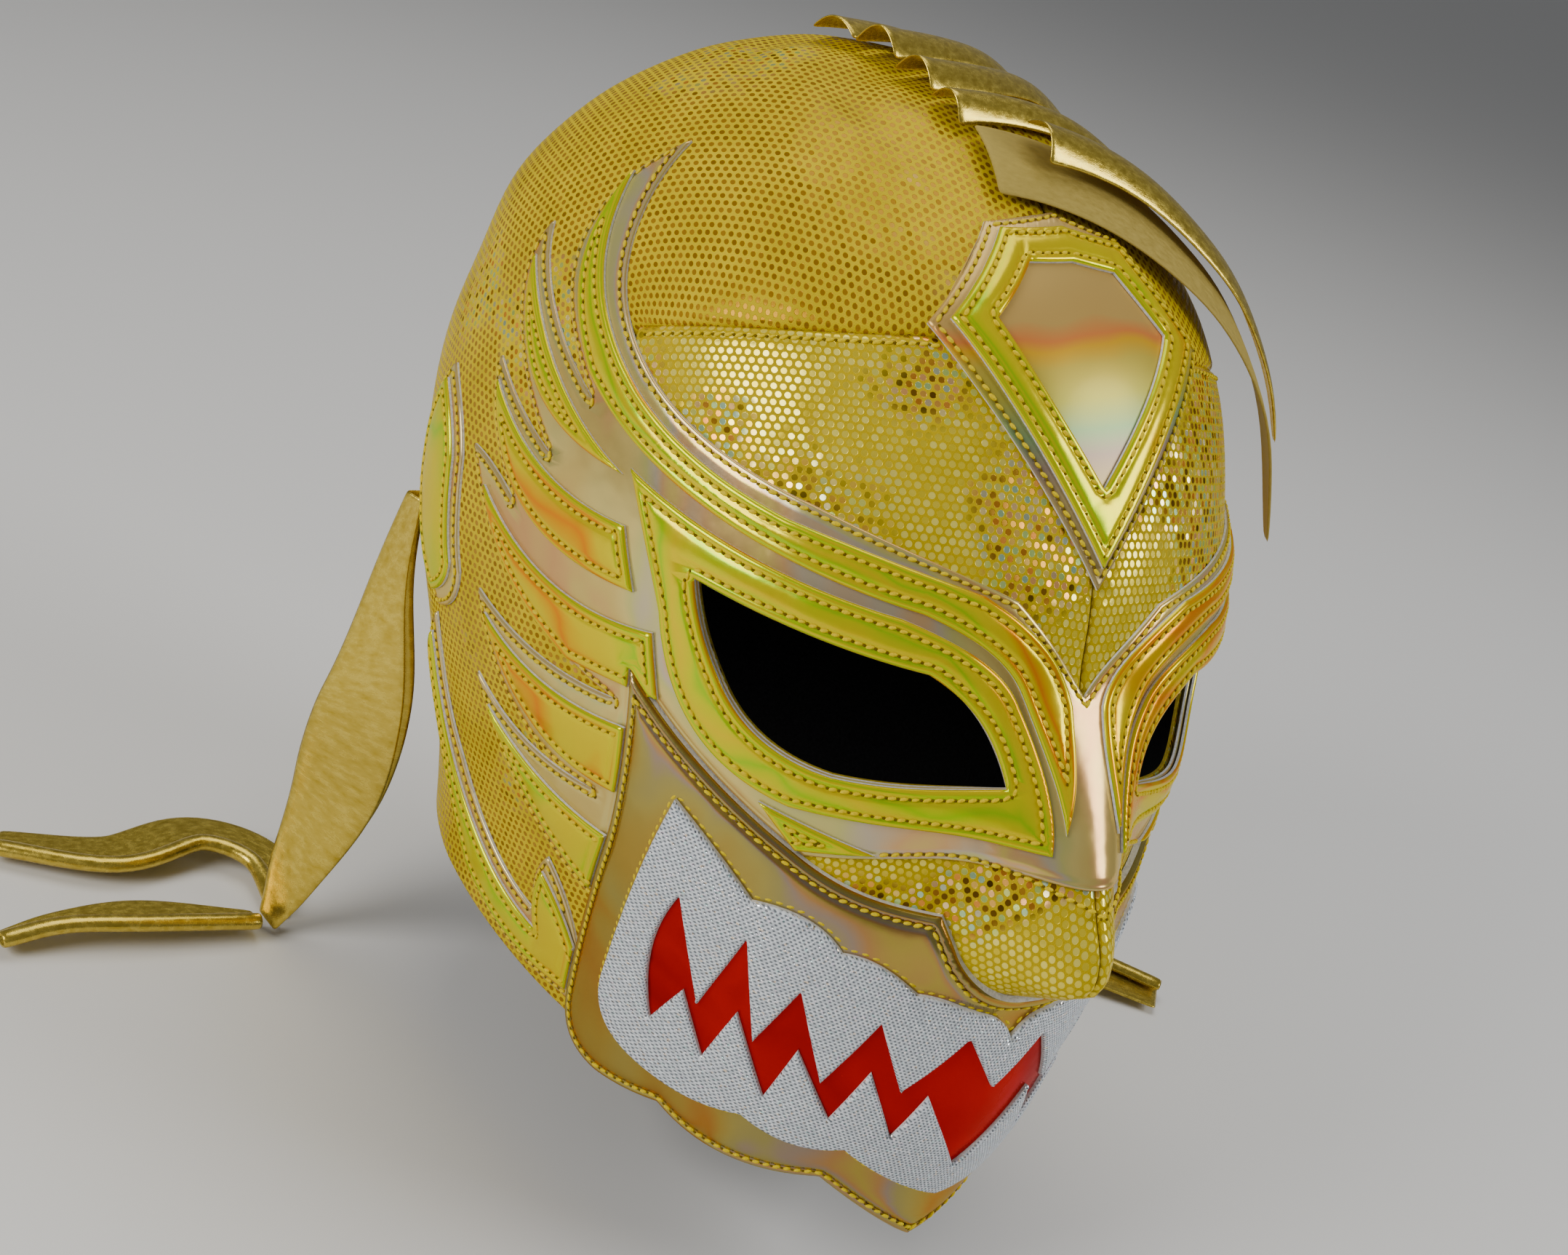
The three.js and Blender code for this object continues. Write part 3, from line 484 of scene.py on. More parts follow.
def unwrap_flat(piece, places=None):
    """Unwraps a sheet and turns its UV map to true size, in metres, with rows level."""
    bpy.ops.object.select_all(action="DESELECT")
    piece.select_set(True)
    bpy.context.view_layer.objects.active = piece
    mesh = piece.data
    mesh.uv_layers.new(name="flat")
    slots = {}
    for polygon in mesh.polygons:
        for key in polygon.edge_keys:
            slots.setdefault(key, set()).add(polygon.material_index)
    for line in mesh.edges:
        line.use_seam = len(slots.get(tuple(sorted(line.vertices)), {0})) > 1
    bpy.ops.object.mode_set(mode="EDIT")
    bpy.ops.mesh.select_all(action="SELECT")
    bpy.ops.uv.unwrap(method="MINIMUM_STRETCH", fill_holes=True)
    bpy.ops.object.mode_set(mode="OBJECT")
    flat = np.empty(2 * len(mesh.loops))
    mesh.uv_layers[0].data.foreach_get("uv", flat)
    flat = flat.reshape(-1, 2)
    corners = np.empty(len(mesh.loops), np.int64)
    mesh.loops.foreach_get("vertex_index", corners)
    spots = np.empty(3 * len(mesh.vertices))
    mesh.vertices.foreach_get("co", spots)
    spots = spots.reshape(-1, 3)[corners]
    outer = np.zeros(len(mesh.loops), bool)
    for polygon in mesh.polygons:
        if polygon.material_index == 0:
            outer[list(polygon.loop_indices)] = True
    # The level direction is along the turn, and the upright one is against the drop
    turn = np.arctan2(spots[:, 0], -spots[:, 1])
    level = turn * np.linalg.norm(spots[:, :2], axis=1)
    target = np.stack([level, spots[:, 2]], -1)[outer]
    source = flat[outer]
    target, source = target - target.mean(0), source - source.mean(0)
    u, size, v = np.linalg.svd(source.T @ target)
    turned = u @ v
    scale = size.sum() / (source**2).sum()
    mesh.uv_layers[0].data.foreach_set("uv", (flat @ turned * scale).ravel().astype(np.float32))
    return scale


# %% [markdown]
# ## The cloth hood
#
# Two face panels of coarse gold knit meet in a seam down the nose, and two crown panels of
# a finer mesh make the rest. The edge of each panel rolls down into its seam, which is what
# draws the dark seam lines. Over the crown a chart of turns and drops would crowd all its
# points together, so the crown panels are joined up in a plan seen from above.

# %% Cut the cloth panels
SEAM_HALF = 0.12 * MM
SEAM_ROLL = 1.6 * MM


def stitch_profile(thick, puff, grooves, round_over=0.7 * MM, dip=0.3):
    """The top of a sewn sheet: a rounded edge, grooves under the thread, a puff between."""
    def top(places, distance):
        edge = -0.55 * thick * np.clip(1 - distance / round_over, 0, 1) ** 2
        rise = puff * (1 - np.exp(-((distance / (4 * MM)) ** 2)))
        for groove in grooves:
            rise = rise - dip * thick * np.exp(-(((distance - groove) / (0.55 * MM)) ** 2))
        return edge + rise
    return top


def cloth_roll(places, distance):
    """Cloth rolls down into its seams, and is a little uneven all over."""
    roll = -0.9 * MM * np.clip(1 - distance / SEAM_ROLL, 0, 1) ** 2
    turn, drop = places.T
    ripple = np.sin(turn * 0.21 + 9 * drop) * np.sin(drop * 31 - turn * 0.06)
    # The crest's seam gathers the crown: folds run out from it, and only dip
    gathered = np.exp(-(((drop - 0.035) / 0.045) ** 2)) * np.clip(abs(turn) / 20, 0, 1)
    folds = 0.5 + 0.5 * np.sin(np.radians(turn) * 5.3 + 1.6 * np.sin(drop * 60))
    return roll + (0.12 * ripple - 1.3 * gathered * folds**2) * MM * np.clip(distance / (9 * MM), 0, 1)


def clear_of_seam(ring, side):
    """Keeps a ring of one side off the centre seam."""
    reach = np.linalg.norm(cloth_point(*ring.T)[:, :2], axis=1)
    least = np.degrees(np.arcsin(np.clip(SEAM_HALF / np.maximum(reach, SEAM_HALF), 0, 1)))
    turn = np.clip(side * ring[:, 0], least, 180 - least)
    return np.stack([side * turn, ring[:, 1]], -1)


face_rings, crown_rings = {}, {}
for side in (1, -1):
    face = ring_of(FACE_PANEL + [(0, 0.2)], side, step=1.6 * MM)
    face_rings[side] = clear_of_seam(face, side)
    # The crown panel's ring: over the top, down the nape, round the hem, up the face seam
    over = np.concatenate([np.linspace(0.2, 0.03, 24), np.linspace(0.028, 0.0, 14)[:-1] ** 2 / 0.028])
    nape = np.concatenate([np.linspace(0, 0.028, 14)[1:] ** 2 / 0.028, np.linspace(0.03, 0.95, 130)])
    front = np.stack([np.zeros(len(over)), over], -1)
    behind = np.stack([np.full(len(nape), 180.0), nape], -1)
    hem_turns = np.linspace(180, 45, 120)[1:-1]
    hem = np.stack([hem_turns, smooth(HEM[:, 0], HEM[:, 1], hem_turns)], -1)
    down_face = ring_of(FACE_PANEL, 1, step=1.6 * MM)
    face_edge = down_face[: np.argmax(down_face[:, 1] > 1.0) + 1]
    ring = np.concatenate([front[1:], behind, hem, face_edge[::-1][1:]])
    crown_rings[side] = clear_of_seam(ring * (side, 1), side)

mouth_ring = ring_of(MOUTH_BORDER, whole=True)
mouth_gap = grow(mouth_ring, 0.3 * MM)
hood_panels = {}
for side, word in ((1, "left"), (-1, "right")):
    eye = ring_of(EYE_HOLE, side)
    hood_panels["face_panel_" + word] = cut_sheet(
        f"face_panel_{word}_knit", [face_rings[side]], [grow(eye, 0.4 * MM)],
        low=-CLOTH_WALL, spacing=2.6 * MM, edge=(0.7 * MM, 1.6 * MM), top=cloth_roll)
    hood_panels["crown_panel_" + word] = cut_sheet(
        f"crown_panel_{word}_mesh", [crown_rings[side]], [],
        low=-CLOTH_WALL, spacing=3 * MM, edge=(0.7 * MM, 1.6 * MM), top=cloth_roll, chart=crown_chart)
for name, piece in hood_panels.items():
    print(name, len(piece.data.polygons), "faces, unwrap scale", round(unwrap_flat(piece), 3))

# %% [markdown]
# ## The sewn shapes
#
# Foil-faced vinyl with foam behind it is cut in two sizes: a pearly shape, and a yellow one
# that leaves a narrow margin of pearl showing. Both are sewn down close to their edges.

# %% Cut the vinyl shapes
BASE_LOW = 0.05 * MM
BASE_HIGH = 1.15 * MM
TOP_LOW = 1.2 * MM
TOP_HIGH = 2.4 * MM
RINGS = (0.35 * MM, 0.8 * MM, 1.4 * MM, 2.0 * MM, 2.6 * MM, 3.4 * MM)
base_top = stitch_profile(1.1 * MM, 0.0, (1.0 * MM,))
flame_top = stitch_profile(1.2 * MM, 0.25 * MM, (2.0 * MM,))

vinyl_pieces = {}


def cut_vinyl(node, ring, outsides=(), over=False, spacing=2.2 * MM):
    low, high = (TOP_LOW, TOP_HIGH) if over else (BASE_LOW, BASE_HIGH)
    piece = cut_sheet(f"{node}_vinyl", [ring], outsides, low=low, high=high, spacing=spacing,
                      edge=RINGS, top=flame_top if over else base_top)
    vinyl_pieces[node] = piece
    return piece


eyes = [ring_of(EYE_HOLE, side) for side in (1, -1)]
bridge = FLAME_BASE[1:-1] + [(0, 0.6115, 5, 0.612)]
cut_vinyl("flame_base", ring_of(bridge, whole=True), [*eyes, mouth_gap], spacing=3 * MM)
cut_vinyl("emblem_base", ring_of(EMBLEM_BASE, whole=True))
cut_vinyl("emblem_frame", ring_of(EMBLEM_FRAME, whole=True), [ring_of(EMBLEM_WINDOW, whole=True)], over=True)
for side, word in ((1, "left"), (-1, "right")):
    cut_vinyl(f"eye_ring_{word}", ring_of(EYE_RING, side), [ring_of(EYE_HOLE, side)], over=True)
    cut_vinyl(f"brow_flame_{word}", ring_of(BROW_FLAME, side), over=True)
    for i, rows in enumerate(SIDE_FLAMES):
        cut_vinyl(f"side_flame_{i + 1}_{word}", ring_of(rows, side), [mouth_gap], over=True)
    cut_vinyl(f"cheek_sliver_{word}", ring_of(CHEEK_SLIVER, side), [mouth_gap], over=True)
    cut_vinyl(f"ear_base_{word}", ring_of(EAR_BASE, side))
    cut_vinyl(f"ear_flame_{word}", ring_of(EAR_FLAME, side), over=True)
    cut_vinyl(f"jaw_base_{word}", ring_of(JAW_BASE, side), [mouth_gap])
    cut_vinyl(f"jaw_flame_{word}", ring_of(JAW_FLAME, side), [mouth_gap], over=True)
print(len(vinyl_pieces), "vinyl shapes,", sum(len(p.data.polygons) for p in vinyl_pieces.values()), "faces")

# %% [markdown]
# ## The mouth
#
# A thick padded border carries a toothed panel. The gap between the upper and the lower
# teeth is cut out of the panel as a zigzag, and a glossy red strip shows through it.

# %% Cut the mouth's layers
MOUTH_HIGH = 2.7 * MM
RED_LOW, RED_HIGH = 2.75 * MM, 3.5 * MM
TOOTH_LOW, TOOTH_HIGH = 3.0 * MM, 4.7 * MM
mouth_top = stitch_profile(2.4 * MM, 0.6 * MM, (2.2 * MM,), round_over=1.4 * MM, dip=0.3)
tooth_top = stitch_profile(1.2 * MM, 0.15 * MM, (), round_over=0.5 * MM)
red_top = stitch_profile(0.7 * MM, 0.0, ())

teeth_ring = ring_of(TEETH, whole=True)
zigzag_ring = ring_of(ZIGZAG, whole=True)
mouth_pieces = {
    "mouth_border": cut_sheet("mouth_border_pad", [mouth_ring], low=0.05 * MM, high=MOUTH_HIGH,
                              spacing=2.4 * MM,
                              edge=(0.4 * MM, 0.9 * MM, 1.5 * MM, 2.2 * MM, 2.9 * MM, 4 * MM, 5.5 * MM),
                              top=mouth_top),
    "red_band": cut_sheet("red_band_vinyl", [ring_of(RED_BAND, whole=True)], low=RED_LOW, high=RED_HIGH,
                          spacing=2.6 * MM, edge=(0.5 * MM,), top=red_top),
    "tooth_panel": cut_sheet("tooth_panel_glitter", [teeth_ring], [zigzag_ring], low=TOOTH_LOW,
                             high=TOOTH_HIGH,
                             spacing=2.4 * MM, edge=(0.4 * MM, 0.9 * MM), top=tooth_top),
}


def level_chart(piece):
    """A UV map in metres for a narrow band: along the turn, and up the head."""
    mesh = piece.data
    chart = mesh.uv_layers.new(name="flat").data
    for loop in mesh.loops:
        spot = mesh.vertices[loop.vertex_index].co
        chart[loop.index].uv = (math.atan2(spot.x, -spot.y) * spot.xy.length, spot.z)


level_chart(mouth_pieces["tooth_panel"])
print("tooth panel", len(mouth_pieces["tooth_panel"].data.polygons), "faces")

# %% [markdown]
# ## Stitches
#
# A heavy yellow thread runs along both edges of every shape, and pulls a groove into the
# foam. One stitch is modelled, a plump bead of thread, and beside it a small dark flat ball, the painted
# shade of its needle hole, and both are copied along each line. The line is the cut's own outline moved
# inwards, without the stretches that another layer covers.

# %% One stitch, and the lines it follows
STITCH_PITCH = 2.2 * MM


def small_ball(thick, wide, long):
    """A ball's points and faces, squeezed to three half sizes."""
    bpy.ops.object.select_all(action="DESELECT")
    bpy.ops.mesh.primitive_uv_sphere_add(segments=6, ring_count=4, radius=1)
    ball = bpy.context.object
    bpy.ops.transform.resize(value=(thick, wide, long))
    bpy.ops.object.transform_apply(location=False, rotation=False, scale=True)
    points = np.array([tuple(v.co) for v in ball.data.vertices])
    faces = [tuple(f.vertices) for f in ball.data.polygons]
    bpy.data.objects.remove(ball)
    return points, faces


bead, bead_faces = small_ball(0.42 * MM, 0.45 * MM, 0.92 * MM)
# Painted shade: a flat dark ball stands for the shade inside a needle hole
hole, hole_faces = small_ball(0.12 * MM, 0.3 * MM, 0.36 * MM)
luck = np.random.default_rng(7)


def sewing_runs(ring, inset, insides=(), outsides=(), pitch=STITCH_PITCH):
    """Evenly spaced places along a ring moved by an inset, in unbroken runs."""
    moved = grow(ring, -inset)
    seats = cloth_point(*moved.T)
    clear = distance_to(tree_of(cloth_point(*ring.T)), seats) > 0.9 * abs(inset)
    clear &= kept_by(moved, insides, outsides)
    if not clear.any():
        return []
    start = np.argmin(clear)
    moved, clear = np.roll(moved, -start, axis=0), np.roll(clear, -start)
    runs = []
    for part in np.split(np.arange(len(moved)), np.nonzero(np.diff(clear.astype(int)))[0] + 1):
        if not clear[part[0]] or len(part) < 4:
            continue
        line = moved[part]
        if clear.all():
            line = np.concatenate([line, line[:1]])
        length = np.concatenate([[0], np.cumsum(np.linalg.norm(
            np.diff(cloth_point(*line.T), axis=0), axis=1))])
        marks = np.arange(pitch / 2, length[-1], pitch)
        runs.append(np.stack([np.interp(marks, length, line[:, k]) for k in (0, 1)], -1))
    return [run for run in runs if len(run) > 1]


def sew(name, seams):
    """Joins the stitches of several lines into one piece. A seam is its runs and its lift."""
    spots, corners, slots, count = [], [], [], 0
    for runs, lift in seams:
        for run in runs:
            seats = on_hood(run[:, 0], run[:, 1], np.full(len(run), lift))
            normals = cloth_normal(*run.T)
            along = unit(np.gradient(seats, axis=0))
            across = unit(np.cross(normals, along))
            for seat, n, a, c in zip(seats, normals, along, across):
                swing = 0.22 + luck.normal(0, 0.07)
                heading = a * math.cos(swing) + c * math.sin(swing)
                beside = c * math.cos(swing) - a * math.sin(swing)
                size = 1 + luck.normal(0, 0.06)
                middle = seat + 0.5 * STITCH_PITCH * a + 0.05 * MM * n
                for at, ball, faces, slot in ((seat, bead * size, bead_faces, 0),
                                              (middle, hole, hole_faces, 1)):
                    spots.append(at + ball[:, :1] * n + ball[:, 1:2] * beside + ball[:, 2:] * heading)
                    corners += [tuple(i + count for i in face) for face in faces]
                    slots += [slot] * len(faces)
                    count += len(ball)
    mesh = bpy.data.meshes.new(name)
    mesh.from_pydata(np.concatenate(spots).tolist(), [], corners)
    mesh.polygons.foreach_set("material_index", np.array(slots, np.int32))
    piece = bpy.data.objects.new(name, mesh)
    bpy.context.scene.collection.objects.link(piece)
    bpy.ops.object.select_all(action="DESELECT")
    piece.select_set(True)
    bpy.context.view_layer.objects.active = piece
    bpy.ops.object.mode_set(mode="EDIT")
    bpy.ops.mesh.select_all(action="SELECT")
    bpy.ops.mesh.normals_make_consistent(inside=False)
    bpy.ops.object.mode_set(mode="OBJECT")
    bpy.ops.object.shade_smooth()
    print(name, len(spots) // 2, "stitches")
    return piece


# %% Sew every shape down
TOP_INSET = 2.0 * MM
BASE_INSET = 1.2 * MM
top_line = TOP_HIGH - 0.1 * MM
base_line = BASE_HIGH - 0.05 * MM
thread_pieces = []
for side, word in ((1, "left"), (-1, "right")):
    eye = ring_of(EYE_HOLE, side)
    tops = {name: ring_of(rows, side) for name, rows in (
        ("eye", EYE_RING), ("brow", BROW_FLAME), ("sliver", CHEEK_SLIVER), ("ear", EAR_FLAME),
        ("jaw", JAW_FLAME),
        *((f"flame {i}", rows) for i, rows in enumerate(SIDE_FLAMES)))}
    covers = [grow(ring, 0.45 * MM) for ring in tops.values()]
    seams = [(sewing_runs(ring, TOP_INSET, [ring], [mouth_gap]), top_line) for ring in tops.values()]
    seams.append((sewing_runs(eye, -TOP_INSET), top_line))
    for rows in (FLAME_BASE, EAR_BASE, JAW_BASE):
        base = ring_of(rows, side)
        own_side = np.array([(-0.4, 0.0), (180, 0.0), (180, 1.2), (-0.4, 1.2)]) * (side, 1)
        seams.append((sewing_runs(base, BASE_INSET, [base, own_side], [mouth_gap, *covers]), base_line))
    thread_pieces.append(sew(f"stitches_flames_{word}", seams))
emblem_cover = grow(ring_of(EMBLEM_FRAME, whole=True), 0.45 * MM)
thread_pieces.append(sew("stitches_emblem", [
    (sewing_runs(ring_of(EMBLEM_BASE, whole=True), BASE_INSET, (), [emblem_cover]), base_line),
    (sewing_runs(ring_of(EMBLEM_FRAME, whole=True), 1.6 * MM), top_line),
    (sewing_runs(ring_of(EMBLEM_WINDOW, whole=True), -1.6 * MM), top_line),
]))
thread_pieces.append(sew("stitches_mouth", [
    (sewing_runs(mouth_ring, 2.2 * MM), MOUTH_HIGH + 0.05 * MM),
    (sewing_runs(teeth_ring, -0.75 * MM), MOUTH_HIGH + 0.35 * MM),
]))
# A row of stitches holds the turned edge of the forehead cloth, where no shape covers it
forehead_cover = [grow(ring_of(EMBLEM_BASE, whole=True), 0.6 * MM)]
forehead_rows = []
for side in (1, -1):
    above = np.array([(1.0, 0.1), (70, 0.1), (70, 0.3), (1.0, 0.3)]) * (side, 1)
    bases = [grow(ring_of(rows, side), 0.6 * MM) for rows in (FLAME_BASE, EAR_BASE)]
    forehead_rows.append((sewing_runs(face_rings[side], 1.9 * MM, [above], [*forehead_cover, *bases]),
                          0.1 * MM))
thread_pieces.append(sew("stitches_forehead", forehead_rows))

# %% [markdown]
# ## Lame strips
#
# Each strip of the crest and each ribbon is one length of cloth. A plain grid is added, its
# rows are set on stations along the strip's path, each arched or folded across its width,
# and Solidify and Subdivision Surface finish it. Solidify gives its inner face a slot of its
# own, because the back of lame is a plain tan weave.

# %% Strip maker
LAME_WALL = 0.7 * MM
ROLL_START = 0.2
ROLL_TURN = math.radians(290)


def strip(name, stations, columns=12, fold=2.0, roll=0.0):
    """A lame strip through stations of centre, across, up, width, arch and lean.

    Its section is an arch, or with a roll it lies flat and curls back over one edge.
    """
    rows = len(stations)
    bpy.ops.object.select_all(action="DESELECT")
    bpy.ops.mesh.primitive_grid_add(x_subdivisions=columns, y_subdivisions=rows - 1, size=2)
    piece = bpy.context.object
    piece.name = name
    piece.data.name = name
    for vertex in piece.data.vertices:
        across_share = vertex.co.x
        row = round((vertex.co.y + 1) / 2 * (rows - 1))
        centre, across, up, width, arch, lean = stations[row]
        height = arch * (1 - abs(across_share) ** fold)
        side_move = across_share * width / 2 + lean * arch * (1 - across_share**2)
        if roll and across_share > ROLL_START:
            angle = (across_share - ROLL_START) / (1 - ROLL_START) * ROLL_TURN
            height = roll * (1 - math.cos(angle))
            side_move = 0.25 * width + roll * 1.3 * math.sin(angle)
        elif roll:
            height = 0
            side_move = ((across_share + 1) / (1 + ROLL_START) * 0.75 - 0.5) * width
        vertex.co = Vector(centre + across * side_move + up * height)
    piece.data.update()
    run = np.concatenate([[0], np.cumsum(np.linalg.norm(np.diff([s[0] for s in stations], axis=0), axis=1))])
    chart = piece.data.uv_layers[0].data
    for loop in piece.data.loops:
        share = chart[loop.index].uv.copy()
        row = round(share.y * (rows - 1))
        chart[loop.index].uv = ((share.x - 0.5) * max(s[3] for s in stations), run[row])
    wall = piece.modifiers.new("wall", "SOLIDIFY")
    wall.thickness = LAME_WALL
    wall.offset = 0
    wall.material_offset = 1
    wall.material_offset_rim = 1
    finer = piece.modifiers.new("finer", "SUBSURF")
    finer.levels = 1
    finer.render_levels = 1
    bpy.ops.object.modifier_apply(modifier="wall")
    bpy.ops.object.modifier_apply(modifier="finer")
    for polygon in piece.data.polygons:
        polygon.use_smooth = True
    return piece


def frames_along(centres, ups):
    """Directions across and up for each station of a path."""
    along = unit(np.gradient(centres, axis=0))
    across = unit(np.cross(ups, along))
    return across, np.cross(along, across)


# %% The crest
LOCK_WIDTH = 12 * MM
TAIL_WIDTH = 26 * MM
LOCK_ARCH = 6 * MM
LAYER_GAP = 0.3 * MM
LIFT_POWER = 4
ARCH_FALL = 0.7
# start, bend, end (turn and drop each), width, arch, first lift, last lift
CREST = {
    "crest_lock_1": ((-136, 0.017), (144, 0.03), (128, 0.27), LOCK_WIDTH, 0.6, 0.18, 0.18),
    "crest_lock_2": ((-92, 0.008), (117, 0.018), (113, 0.29), LOCK_WIDTH, 0.9, 0.25, 0.25),
    "crest_lock_3": ((-43, 0.0136), (76, 0.02), (100, 0.21), LOCK_WIDTH, 0.9, 0.06, 0.06),
    "crest_lock_4": ((-26, 0.032), (50, 0.038), (66, 0.21), LOCK_WIDTH * 0.9, 0.8, 0.08, 0.08),
    "crest_tail_1": ((-15, 0.068), (21, 0.089), (52, 0.43), TAIL_WIDTH * 0.77, 0.2, 0.2, 2.8),
    "crest_tail_2": ((0, 0.058), (30, 0.077), (53, 0.33), TAIL_WIDTH * 0.48, 0.7, 0.8, 2.5),
}


def in_plan(turn, drop):
    angle = math.radians(turn)
    return np.array([math.sin(angle), math.cos(angle)]) * math.sqrt(drop)


crest_pieces = {}
for node, (start, bend, end, width, arch, first, last) in CREST.items():
    share = np.linspace(0, 1, 25)
    a, b, c = in_plan(*start), in_plan(*bend), in_plan(*end)
    plan = np.outer((1 - share) ** 2, a) + np.outer(2 * share * (1 - share), b) + np.outer(share**2, c)
    turn = np.degrees(np.arctan2(plan[:, 0], plan[:, 1]))
    drop = (plan**2).sum(1)
    lift = (first + (last - first) * share**LIFT_POWER) * LOCK_ARCH + LAYER_GAP
    centres = on_hood(turn, drop, lift + LAME_WALL / 2)
    across, up = frames_along(centres, cloth_normal(turn, drop))
    taper = np.interp(share, [0, 0.7, 1], [1, 1, 0.12])
    arched = LOCK_ARCH * arch * taper * (1 - ARCH_FALL * np.sqrt(share))
    stations = [(centres[i], across[i], up[i], width * taper[i], arched[i], 0.0)
                for i in range(len(share))]
    crest_pieces[node] = strip(f"{node}_lame", stations)
print(len(crest_pieces), "crest strips")

# %% The ribbons
RIBBON_WIDTH = 22 * MM
RIBBON_FOLD = 20 * MM
RIBBON_OUT = 80 * MM
RIBBON_BACK = 40 * MM
REST_DROP = 254 * MM
EDGE_ROLL = 1.7 * MM
# out, back, down, width, fold
RIBBON_FALL = [(0.925, 0.795, 0.515, 0.2, 0.2), (0.89, 0.84, 0.61, 0.32, 0.49),
               (0.83, 0.72, 0.73, 0.45, 1.1),
               (0.84, 0.74, 0.84, 0.4, 1.15), (0.96, 0.82, 0.94, 0.3, 0.7), (1.04, 0.88, 0.99, 0.2, 0.3)]
RIBBON_UPPER = [(1.01, 1.0, 0.988, 0.25, 0.1), (0.99, 1.5, 0.98, 0.75, 0.15), (1.17, 1.75, 0.975, 0.85, 0.2),
                (1.45, 1.6, 0.98, 0.9, 0.15), (1.78, 1.85, 0.985, 0.6, 0.1)]
RIBBON_LOWER = [(1.112, 0.87, 0.98, 0.4, 0.2), (1.45, 0.92, 0.975, 0.7, 0.25), (1.7, 0.92, 0.975, 0.45, 0.2),
                (1.88, 0.88, 0.985, 0.3, 0.1)]
RIBBON_FAR = [(1.07, 0.81, 0.985, 0.3, 0.15), (1.4, 0.38, 0.97, 0.72, 0.3), (1.72, -0.18, 0.978, 0.75, 0.2),
              (1.98, -0.65, 0.985, 0.6, 0.15)]


def ribbon(name, rows, side, crease, finer=6, roll=0.0):
    """A ribbon strip through its stations, with a smooth path between them."""
    rows = np.array(rows)
    run = np.linspace(0, len(rows) - 1, (len(rows) - 1) * finer + 1)
    table = np.stack([smooth(np.arange(len(rows), dtype=float), rows[:, k], run) for k in range(5)], -1)
    centres = np.stack([side * table[:, 0] * RIBBON_OUT, table[:, 1] * RIBBON_BACK,
                        CROWN_SINK * HOOD_DROP - table[:, 2] * REST_DROP], -1)
    along = unit(np.gradient(centres, axis=0))
    crease = unit(np.array(crease, float))
    up = unit(crease - along * (along @ crease)[:, None])
    across = np.cross(up, along)
    stations = [(centres[i], across[i], up[i], table[i, 3] * RIBBON_WIDTH, table[i, 4] * RIBBON_FOLD, 0.0)
                for i in range(len(run))]
    return strip(name, stations, columns=20 if roll else 12, fold=1.2, roll=roll)


ribbon_pieces = {
    "ribbon_fall_left": ribbon("ribbon_fall_left_lame", RIBBON_FALL, 1, (1, 0.75, 0)),
    "ribbon_fall_right": ribbon("ribbon_fall_right_lame", RIBBON_FALL, -1, (-1, 0.75, 0)),
    "ribbon_end_right_1": ribbon("ribbon_end_right_1_lame", RIBBON_UPPER, -1, (0, 0, 1), roll=EDGE_ROLL),
    "ribbon_end_right_2": ribbon("ribbon_end_right_2_lame", RIBBON_LOWER, -1, (0, 0, 1), roll=EDGE_ROLL),
    "ribbon_end_left": ribbon("ribbon_end_left_lame", RIBBON_FAR, 1, (0, 0, 1), roll=EDGE_ROLL),
}
print(len(ribbon_pieces), "ribbon lengths")

# %% [markdown]
# ## Floor and light
#
# A pale floor carries the ribbon ends, with large soft lights, because foil looks like what
# it reflects: it needs broad bright shapes next to darker ones.

# %% Floor and lights
FLOOR = cad_box[0][2] - 0.5 * MM
bpy.ops.object.select_all(action="DESELECT")
bpy.ops.mesh.primitive_plane_add(size=30, location=(0, 0, FLOOR))
floor = bpy.context.object
floor.name = "floor"
floor_paint = bpy.data.materials.new("floor_paint")
floor_paint.use_nodes = True
floor_shader = floor_paint.node_tree.nodes["Principled BSDF"]
floor_shader.inputs["Base Color"].default_value = (0.75, 0.74, 0.72, 1)
floor_shader.inputs["Roughness"].default_value = 0.6
floor.data.materials.append(floor_paint)

# Where each lamp is, seen from the hood: round, up, away; then its size, watts and colour.
LAMPS = {
    "right_window": (-82, 27, 1.1, 0.6, 9, (1, 0.98, 0.95)),
    "left_window": (48, 27, 1.1, 0.5, 6, (0.97, 0.98, 1)),
    "ceiling": (150, 72, 1.2, 1.0, 7, (1, 0.99, 0.97)),
}
for lamp_name, (round_by, up_by, away, size, watts, colour) in LAMPS.items():
    level = away * math.cos(math.radians(up_by))
    place = Vector((level * math.sin(math.radians(round_by)), -level * math.cos(math.radians(round_by)),
                    away * math.sin(math.radians(up_by)) - 0.1))
    bpy.ops.object.light_add(type="AREA", location=place)
    lamp = bpy.context.object
    lamp.name = "lamp_" + lamp_name
    lamp.data.shape = "DISK"
    lamp.data.size = size
    lamp.data.energy = watts
    lamp.data.color = colour
    lamp.rotation_euler = (Vector((0, -0.02, -0.1)) - lamp.location).to_track_quat("-Z", "Y").to_euler()
world = bpy.data.worlds.new("studio")
bpy.context.scene.world = world
world.use_nodes = True
world.node_tree.nodes["Background"].inputs["Color"].default_value = (0.8, 0.82, 0.85, 1)
world.node_tree.nodes["Background"].inputs["Strength"].default_value = 0.2
print("floor at", round(FLOOR, 4))

# %% [markdown]
# ## Shader parts that several finishes share
#
# Three effects come back in different finishes: hexagonal rows of foil dots, the slow
# rainbow drift of holographic foil, and fine cloth grain. Each is a node group with named
# inputs, so a finish only places it and gives it its own numbers.

